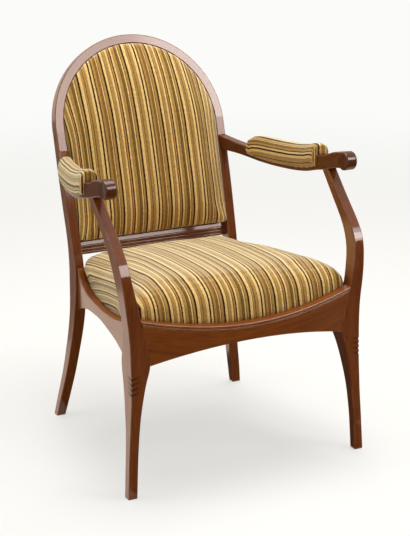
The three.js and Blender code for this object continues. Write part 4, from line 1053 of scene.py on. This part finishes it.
def dustCoverHalf(y):
    low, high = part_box("dust_cover")
    front, rear, notch = 0.0299, 0.0233, 0.0351
    if y < low.y + front:
        return high.x - notch - 0.0005
    if y > high.y - rear:
        return 0.1864 - 0.0005
    share = (y - low.y - front) / (high.y - rear - low.y - front)
    return high.x - share * (high.x - 0.2094) - 0.0005


def dustCoverRows():
    low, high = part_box("dust_cover")
    steps = [*np.linspace(low.y + 0.0005, low.y + 0.0298, 5), *np.linspace(low.y + 0.0300, high.y - 0.0234, 44),
             *np.linspace(high.y - 0.0232, high.y - 0.0005, 5)]
    rows = []
    for y in steps:
        half = dustCoverHalf(y)
        row = []
        for share in np.linspace(-1, 1, 49):
            inward = smoothShare(min(y - low.y, high.y - y, half * (1 - abs(share))), 0.02, 0.13)
            ripple = 0.0005 * math.sin(61 * y + 3 * share) * math.sin(47 * share * half) * inward
            row.append((share * half, y, low.z - thinLook["coverSag"] * inward + ripple))
        rows.append(row)
    return rows, np.broadcast_to(np.array((0.0, 0.0, -1.0)), (len(rows), 49, 3))


# One tack head as a low dome, standing on z = 0
def tackStamp(material):
    radius, height = thinLook["tackRadius"], thinLook["tackHeight"]
    rings = []
    for turn in np.linspace(0, math.pi / 2, 5)[:-1]:
        rings.append([(radius * math.cos(turn) * math.cos(around), radius * math.cos(turn) * math.sin(around),
                       height * math.sin(turn)) for around in np.linspace(0, 2 * math.pi, 13)[:-1]])
    points = [point for ring in rings for point in ring] + [(0, 0, height)]
    faces = [tuple(range(12))[::-1]]
    for i in range(len(rings) - 1):
        faces += [(i * 12 + k, i * 12 + (k + 1) % 12, i * 12 + 12 + (k + 1) % 12, i * 12 + 12 + k) for k in range(12)]
    last = (len(rings) - 1) * 12
    faces += [(last + k, last + (k + 1) % 12, len(points) - 1) for k in range(12)]
    mesh = bpy.data.meshes.new("tack_head")
    mesh.from_pydata(points, [], faces)
    mesh.shade_smooth()
    mesh.materials.append(material)
    return bpy.data.objects.new("tack_head", mesh)


# Node tree that sets one object along a line of points at an even pitch, each turned outwards
def spacedAlong():
    tree = bpy.data.node_groups.new("spacedAlong", "GeometryNodeTree")
    for name, kind in (("Line", "Geometry"), ("Stamp", "Object"), ("Pitch", "Float"), ("Material", "Material")):
        tree.interface.new_socket(name, in_out="INPUT", socket_type=f"NodeSocket{kind}")
    tree.interface.new_socket("Geometry", in_out="OUTPUT", socket_type="NodeSocketGeometry")
    made = {name: tree.nodes.new(kind) for name, kind in (
        ("given", "NodeGroupInput"), ("curve", "GeometryNodeMeshToCurve"), ("even", "GeometryNodeResampleCurve"),
        ("points", "GeometryNodeCurveToPoints"), ("outward", "GeometryNodeInputNamedAttribute"),
        ("turn", "FunctionNodeAlignRotationToVector"), ("stamp", "GeometryNodeObjectInfo"),
        ("placed", "GeometryNodeInstanceOnPoints"), ("real", "GeometryNodeRealizeInstances"),
        ("dressed", "GeometryNodeSetMaterial"), ("result", "NodeGroupOutput"))}
    made["even"].mode = "LENGTH"
    made["points"].mode = "EVALUATED"
    made["outward"].data_type = "FLOAT_VECTOR"
    made["outward"].inputs["Name"].default_value = "outward"
    for source, output, target, socket in (
            ("given", "Line", "curve", "Mesh"), ("curve", "Curve", "even", "Curve"),
            ("given", "Pitch", "even", "Length"), ("even", "Curve", "points", "Curve"),
            ("points", "Points", "placed", "Points"), ("given", "Stamp", "stamp", "Object"),
            ("stamp", "Geometry", "placed", "Instance"), ("outward", "Attribute", "turn", "Vector"),
            ("turn", "Rotation", "placed", "Rotation"), ("placed", "Instances", "real", "Geometry"),
            ("real", "Geometry", "dressed", "Geometry"), ("given", "Material", "dressed", "Material"),
            ("dressed", "Geometry", "result", "Geometry")):
        tree.links.new(made[source].outputs[output], made[target].inputs[socket])
    return tree


def tackRow(name, tree, stamp, material, line, outward, pitch):
    mesh = bpy.data.meshes.new(name)
    closing = [(k, (k + 1) % len(line)) for k in range(len(line))]
    mesh.from_pydata([tuple(point) for point in line], closing, [])
    ways = mesh.attributes.new("outward", "FLOAT_VECTOR", "POINT")
    ways.data.foreach_set("vector", np.array(outward, dtype=float).reshape(-1))
    made = bpy.data.objects.new(name, mesh)
    scene.collection.objects.link(made)
    spread = made.modifiers.new("tacks", "NODES")
    spread.node_group = tree
    values = {"Stamp": stamp, "Pitch": pitch, "Material": material}
    for socket in tree.interface.items_tree:
        if socket.in_out == "INPUT" and socket.name in values:
            spread[socket.identifier] = values[socket.name]
    applied(made)
    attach(made, "root")
    return made


def backTackLine():
    line, outward = [], []
    low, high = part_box("back_panel")[0].z + thinLook["tackInset"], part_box("back_panel")[1].z - thinLook["tackInset"]
    side = []
    for z in [*np.linspace(low, 0.80, 30), *(0.80 + (high - 0.80) * np.sin(np.linspace(0, math.pi / 2, 26)[1:]))]:
        slope = (panelRun.at(z + 0.006)[3] - panelRun.at(z - 0.006)[3]) / 0.012
        share = (z - low) / (high - low)
        half = panelRun.at(z + thinLook["tackInset"] * share ** 6)[1] - thinLook["tackInset"] * (1 - 0.5 * share ** 6)
        side.append((max(half, 0.0), panelRun.at(z)[3] + 0.0003, z, Vector((0, 1, -slope)).normalized()))
    for x, y, z, way in side + [(-x, y, z, way) for x, y, z, way in side[::-1]][1:]:
        line.append((x, y, z))
        outward.append(tuple(way))
    return line, outward


def coverTackLine():
    low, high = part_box("dust_cover")
    inset = thinLook["tackInset"]
    right = [(dustCoverHalf(y) - inset, y) for y in
             (low.y + inset, low.y + 0.0298 + inset * 0.9, low.y + 0.0302 + inset, high.y - 0.0235 - inset,
              high.y - 0.0231 - inset * 0.9, high.y - inset)]
    corners = right + [(-x, y) for x, y in right[::-1]]
    return [(x, y, low.z - 0.0006) for x, y in corners], [(0.0, 0.0, -1.0)] * len(corners)


def plainMaterial(name, colour, worn, rough, metallic, scale, relief):
    material, recipe = newMaterial(name)
    spots = recipe.noise(recipe.stretched((scale, scale, scale)), 1.0, 4, 0.65)
    bump = recipe.node("ShaderNodeBump", None, {"Height": spots, "Strength": 0.3, "Distance": relief})
    shader = recipe.node("ShaderNodeBsdfPrincipled", None, {
        "Base Color": recipe.blend(recipe.rise(spots, 0.35, 0.7), colour, worn), "Roughness": spots * 0.25 + rough,
        "Metallic": metallic, "Normal": bump})
    recipe.node("ShaderNodeOutputMaterial", None, {"Surface": shader})
    return material


# Plain weave: the threads over and under each other as two crossed waves
def wovenMaterial(name, thread, dark, light, rough):
    material, recipe = newMaterial(name)
    place = recipe.stretched((1, 1, 1))
    waves = []
    for axis in ("X", "Y"):
        way = recipe.node("ShaderNodeSeparateXYZ", None, {"Vector": place}, axis) * (math.pi / thread)
        waves.append(way.maths("SINE", way))
    over = waves[0] * waves[1] * 0.5 + 0.5
    fuzz = recipe.noise(recipe.stretched((600, 600, 600)), 1.0, 3, 0.7)
    share = recipe.clamp(over * 0.6 + fuzz * 0.5 - 0.05)
    bump = recipe.node("ShaderNodeBump", None, {"Height": over + fuzz * 0.6, "Strength": 0.5, "Distance": 0.0005})
    shader = recipe.node("ShaderNodeBsdfPrincipled", None, {
        "Base Color": recipe.blend(share, dark, light), "Roughness": rough, "Specular IOR Level": 0.2,
        "Sheen Weight": 0.15, "Normal": bump})
    recipe.node("ShaderNodeOutputMaterial", None, {"Surface": shader})
    return material


def dress(node, material):
    slots = bpy.data.objects[node].data.materials
    slots.clear()
    slots.append(material)


def dressHidden():
    bare = woodMaterial("bareWood", "bareWoodInside", lambda recipe: recipe.stretched((1, 1, 1)))
    steel = plainMaterial("steel", (0.30, 0.30, 0.31), (0.52, 0.52, 0.53), 0.28, 1.0, 900, 0.0001)
    jute = wovenMaterial("jute", 0.0022, (0.20, 0.13, 0.06), (0.46, 0.34, 0.19), 0.9)
    looks = {"corner_block": bare, "arm_post_dowel": bare, "crest_dowel": bare, "corner_screw": steel,
             "arm_screw": steel, "seat_spring": steel, "seat_webbing": jute, "back_webbing": jute,
             "seat_hessian": jute}
    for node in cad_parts:
        for stem, material in looks.items():
            if node.startswith(stem):
                dress(node, material)


def buildThinCloths():
    rows, outward = backPanelRows()
    panel = addSheet("back_outer_cloth", rows, outward, bpy.data.materials["stripedCloth"], "back_panel",
                     "striped_cloth")
    places = placesOf(panel.data)
    weave = panel.data.attributes.new("weave", "FLOAT_VECTOR", "POINT")
    weave.data.foreach_set("vector", np.stack([places[:, 0] + 0.031, places[:, 2], places[:, 2] * 0], 1).reshape(-1))
    lining = wovenMaterial("liningCloth", 0.0011, (0.012, 0.011, 0.010), (0.034, 0.031, 0.029), 0.95)
    addSheet("dust_cover_cloth", *dustCoverRows(), lining, "dust_cover", "black_cloth")
    blued = plainMaterial("bluedTack", (0.030, 0.024, 0.020), (0.085, 0.062, 0.040), 0.32, 0.8, 700, 0.0001)
    tree, stamp = spacedAlong(), tackStamp(blued)
    tackRow("back_tacks", tree, stamp, blued, *backTackLine(), thinLook["tackPitch"])
    tackRow("dust_cover_tacks", tree, stamp, blued, *coverTackLine(), thinLook["underPitch"])
    bpy.data.objects.remove(stamp)


buildThinCloths()
dressHidden()
print("thin cloths and inside ready")


# Floor, lights and background
studio = {
    "backgroundColour": (0.966, 0.966, 0.947),
    "nearColour": (0.985, 0.985, 0.965),
    "fillStrength": 0.32,
    "floorSize": 30,
    "floorColour": (0.9, 0.87, 0.81),
    "shadowShare": 0.4,
    "fade": (1.3, 4.5),
    # Corners of the dark cards, which only show as reflections: under the chair, on the floor in
    # front and behind, and upright in front. The one under the chair is painted shade: it darkens
    # the reflected floor there, as the shade under the chair would
    "cards": {
        "cardUnder": ((-0.30, -0.5, 0.004), (0.40, -0.5, 0.004), (0.40, 0.35, 0.004), (-0.22, 0.35, 0.004)),
        "cardFront": ((-0.5, -6.0, 0.004), (7.0, -6.0, 0.004), (7.0, -0.5, 0.004), (-0.5, -0.5, 0.004)),
        "cardBack": ((-0.52, 0.85, 0.004), (-0.85, 2.5, 0.004), (-2.0, 7.0, 0.004), (-4.4, 7.0, 0.004),
                     (-0.95, 0.85, 0.004)),
        "cardUpright": ((0.2, -6.0, 0.0), (5.0, -4.2, 0.0), (5.0, -4.2, 2.9), (0.2, -6.0, 2.9)),
    },
    "cardColour": (0.03, 0.03, 0.03),
    # Place, target, size, power, colour, and whether the lamp only shows as a reflection
    "lamps": {
        "top": ((0.3, 0.2, 3.4), (0, 0, 0.4), 2.2, 105, (1.0, 1.0, 1.0), False),
        "front": ((2.2, -2.2, 2.4), (0, 0, 0.5), 1.2, 26, (1.0, 1.0, 1.0), False),
        "left": ((-3.2, 0.6, 2.2), (0, 0, 0.4), 1.6, 15, (1.0, 1.0, 1.0), False),
        "glow": ((1.75, -3.35, 2.72), (0, 0, 0.8), 1.95, 122, (1.0, 0.90, 0.84), True),
    },
}


def lamp(name, place, target, size, power, colour, onlyReflected):
    light = bpy.data.lights.new(name, "AREA")
    light.size = size
    light.energy = power
    light.color = colour
    made = bpy.data.objects.new(name, light)
    scene.collection.objects.link(made)
    made.location = place
    made.rotation_euler = (Vector(target) - Vector(place)).to_track_quat("-Z", "Y").to_euler()
    made.visible_diffuse = not onlyReflected


def seenRays(recipe):
    path = {name: recipe.node("ShaderNodeLightPath", None, None, name)
            for name in ("Is Camera Ray", "Is Glossy Ray", "Is Transmission Ray")}
    return recipe.clamp(path["Is Camera Ray"] + path["Is Glossy Ray"] + path["Is Transmission Ray"])


def buildStudio():
    for name, values in studio["lamps"].items():
        lamp(name, *values)
    world = bpy.data.worlds.new("studio")
    scene.world = world
    recipe = Recipe(world)
    seen = recipe.node("ShaderNodeBackground", None, {"Color": studio["backgroundColour"], "Strength": 1.0})
    fill = recipe.node("ShaderNodeBackground", None, {"Color": (1, 1, 1), "Strength": studio["fillStrength"]})
    mixed = recipe.node("ShaderNodeMixShader", None, {0: seenRays(recipe), 1: fill, 2: seen})
    recipe.node("ShaderNodeOutputWorld", None, {"Surface": mixed})

    half = studio["floorSize"] / 2
    mesh = bpy.data.meshes.new("floor")
    mesh.from_pydata([(-half, -half, 0), (half, -half, 0), (half, half, 0), (-half, half, 0)], [], [(0, 1, 2, 3)])
    floor = bpy.data.objects.new("floor", mesh)
    scene.collection.objects.link(floor)
    material, recipe = newMaterial("floorPaint")
    mesh.materials.append(material)
    lit = recipe.node("ShaderNodeBsdfDiffuse", None, {"Color": studio["floorColour"]})
    start = recipe.node("ShaderNodeTexCoord", None, None, "Object")
    away = recipe.node("ShaderNodeVectorMath", {"operation": "LENGTH"}, {0: start}, "Value")
    far = recipe.rise(away, *studio["fade"])
    plain = recipe.node("ShaderNodeEmission", None, {
        "Color": recipe.blend(far, studio["nearColour"], studio["backgroundColour"]), "Strength": 1.0})
    share = seenRays(recipe) * (far * studio["shadowShare"] + (1 - studio["shadowShare"]))
    mixed = recipe.node("ShaderNodeMixShader", None, {0: share, 1: lit, 2: plain})
    recipe.node("ShaderNodeOutputMaterial", None, {"Surface": mixed})

    material, recipe = newMaterial("cardPaint")
    dark = recipe.node("ShaderNodeBsdfDiffuse", None, {"Color": studio["cardColour"]})
    recipe.node("ShaderNodeOutputMaterial", None, {"Surface": dark})
    for name, corners in studio["cards"].items():
        mesh = bpy.data.meshes.new(name)
        mesh.from_pydata(corners, [], [range(len(corners))])
        mesh.materials.append(material)
        card = bpy.data.objects.new(name, mesh)
        scene.collection.objects.link(card)
        card.visible_camera = card.visible_diffuse = card.visible_shadow = card.visible_transmission = False


buildStudio()
print("studio ready")
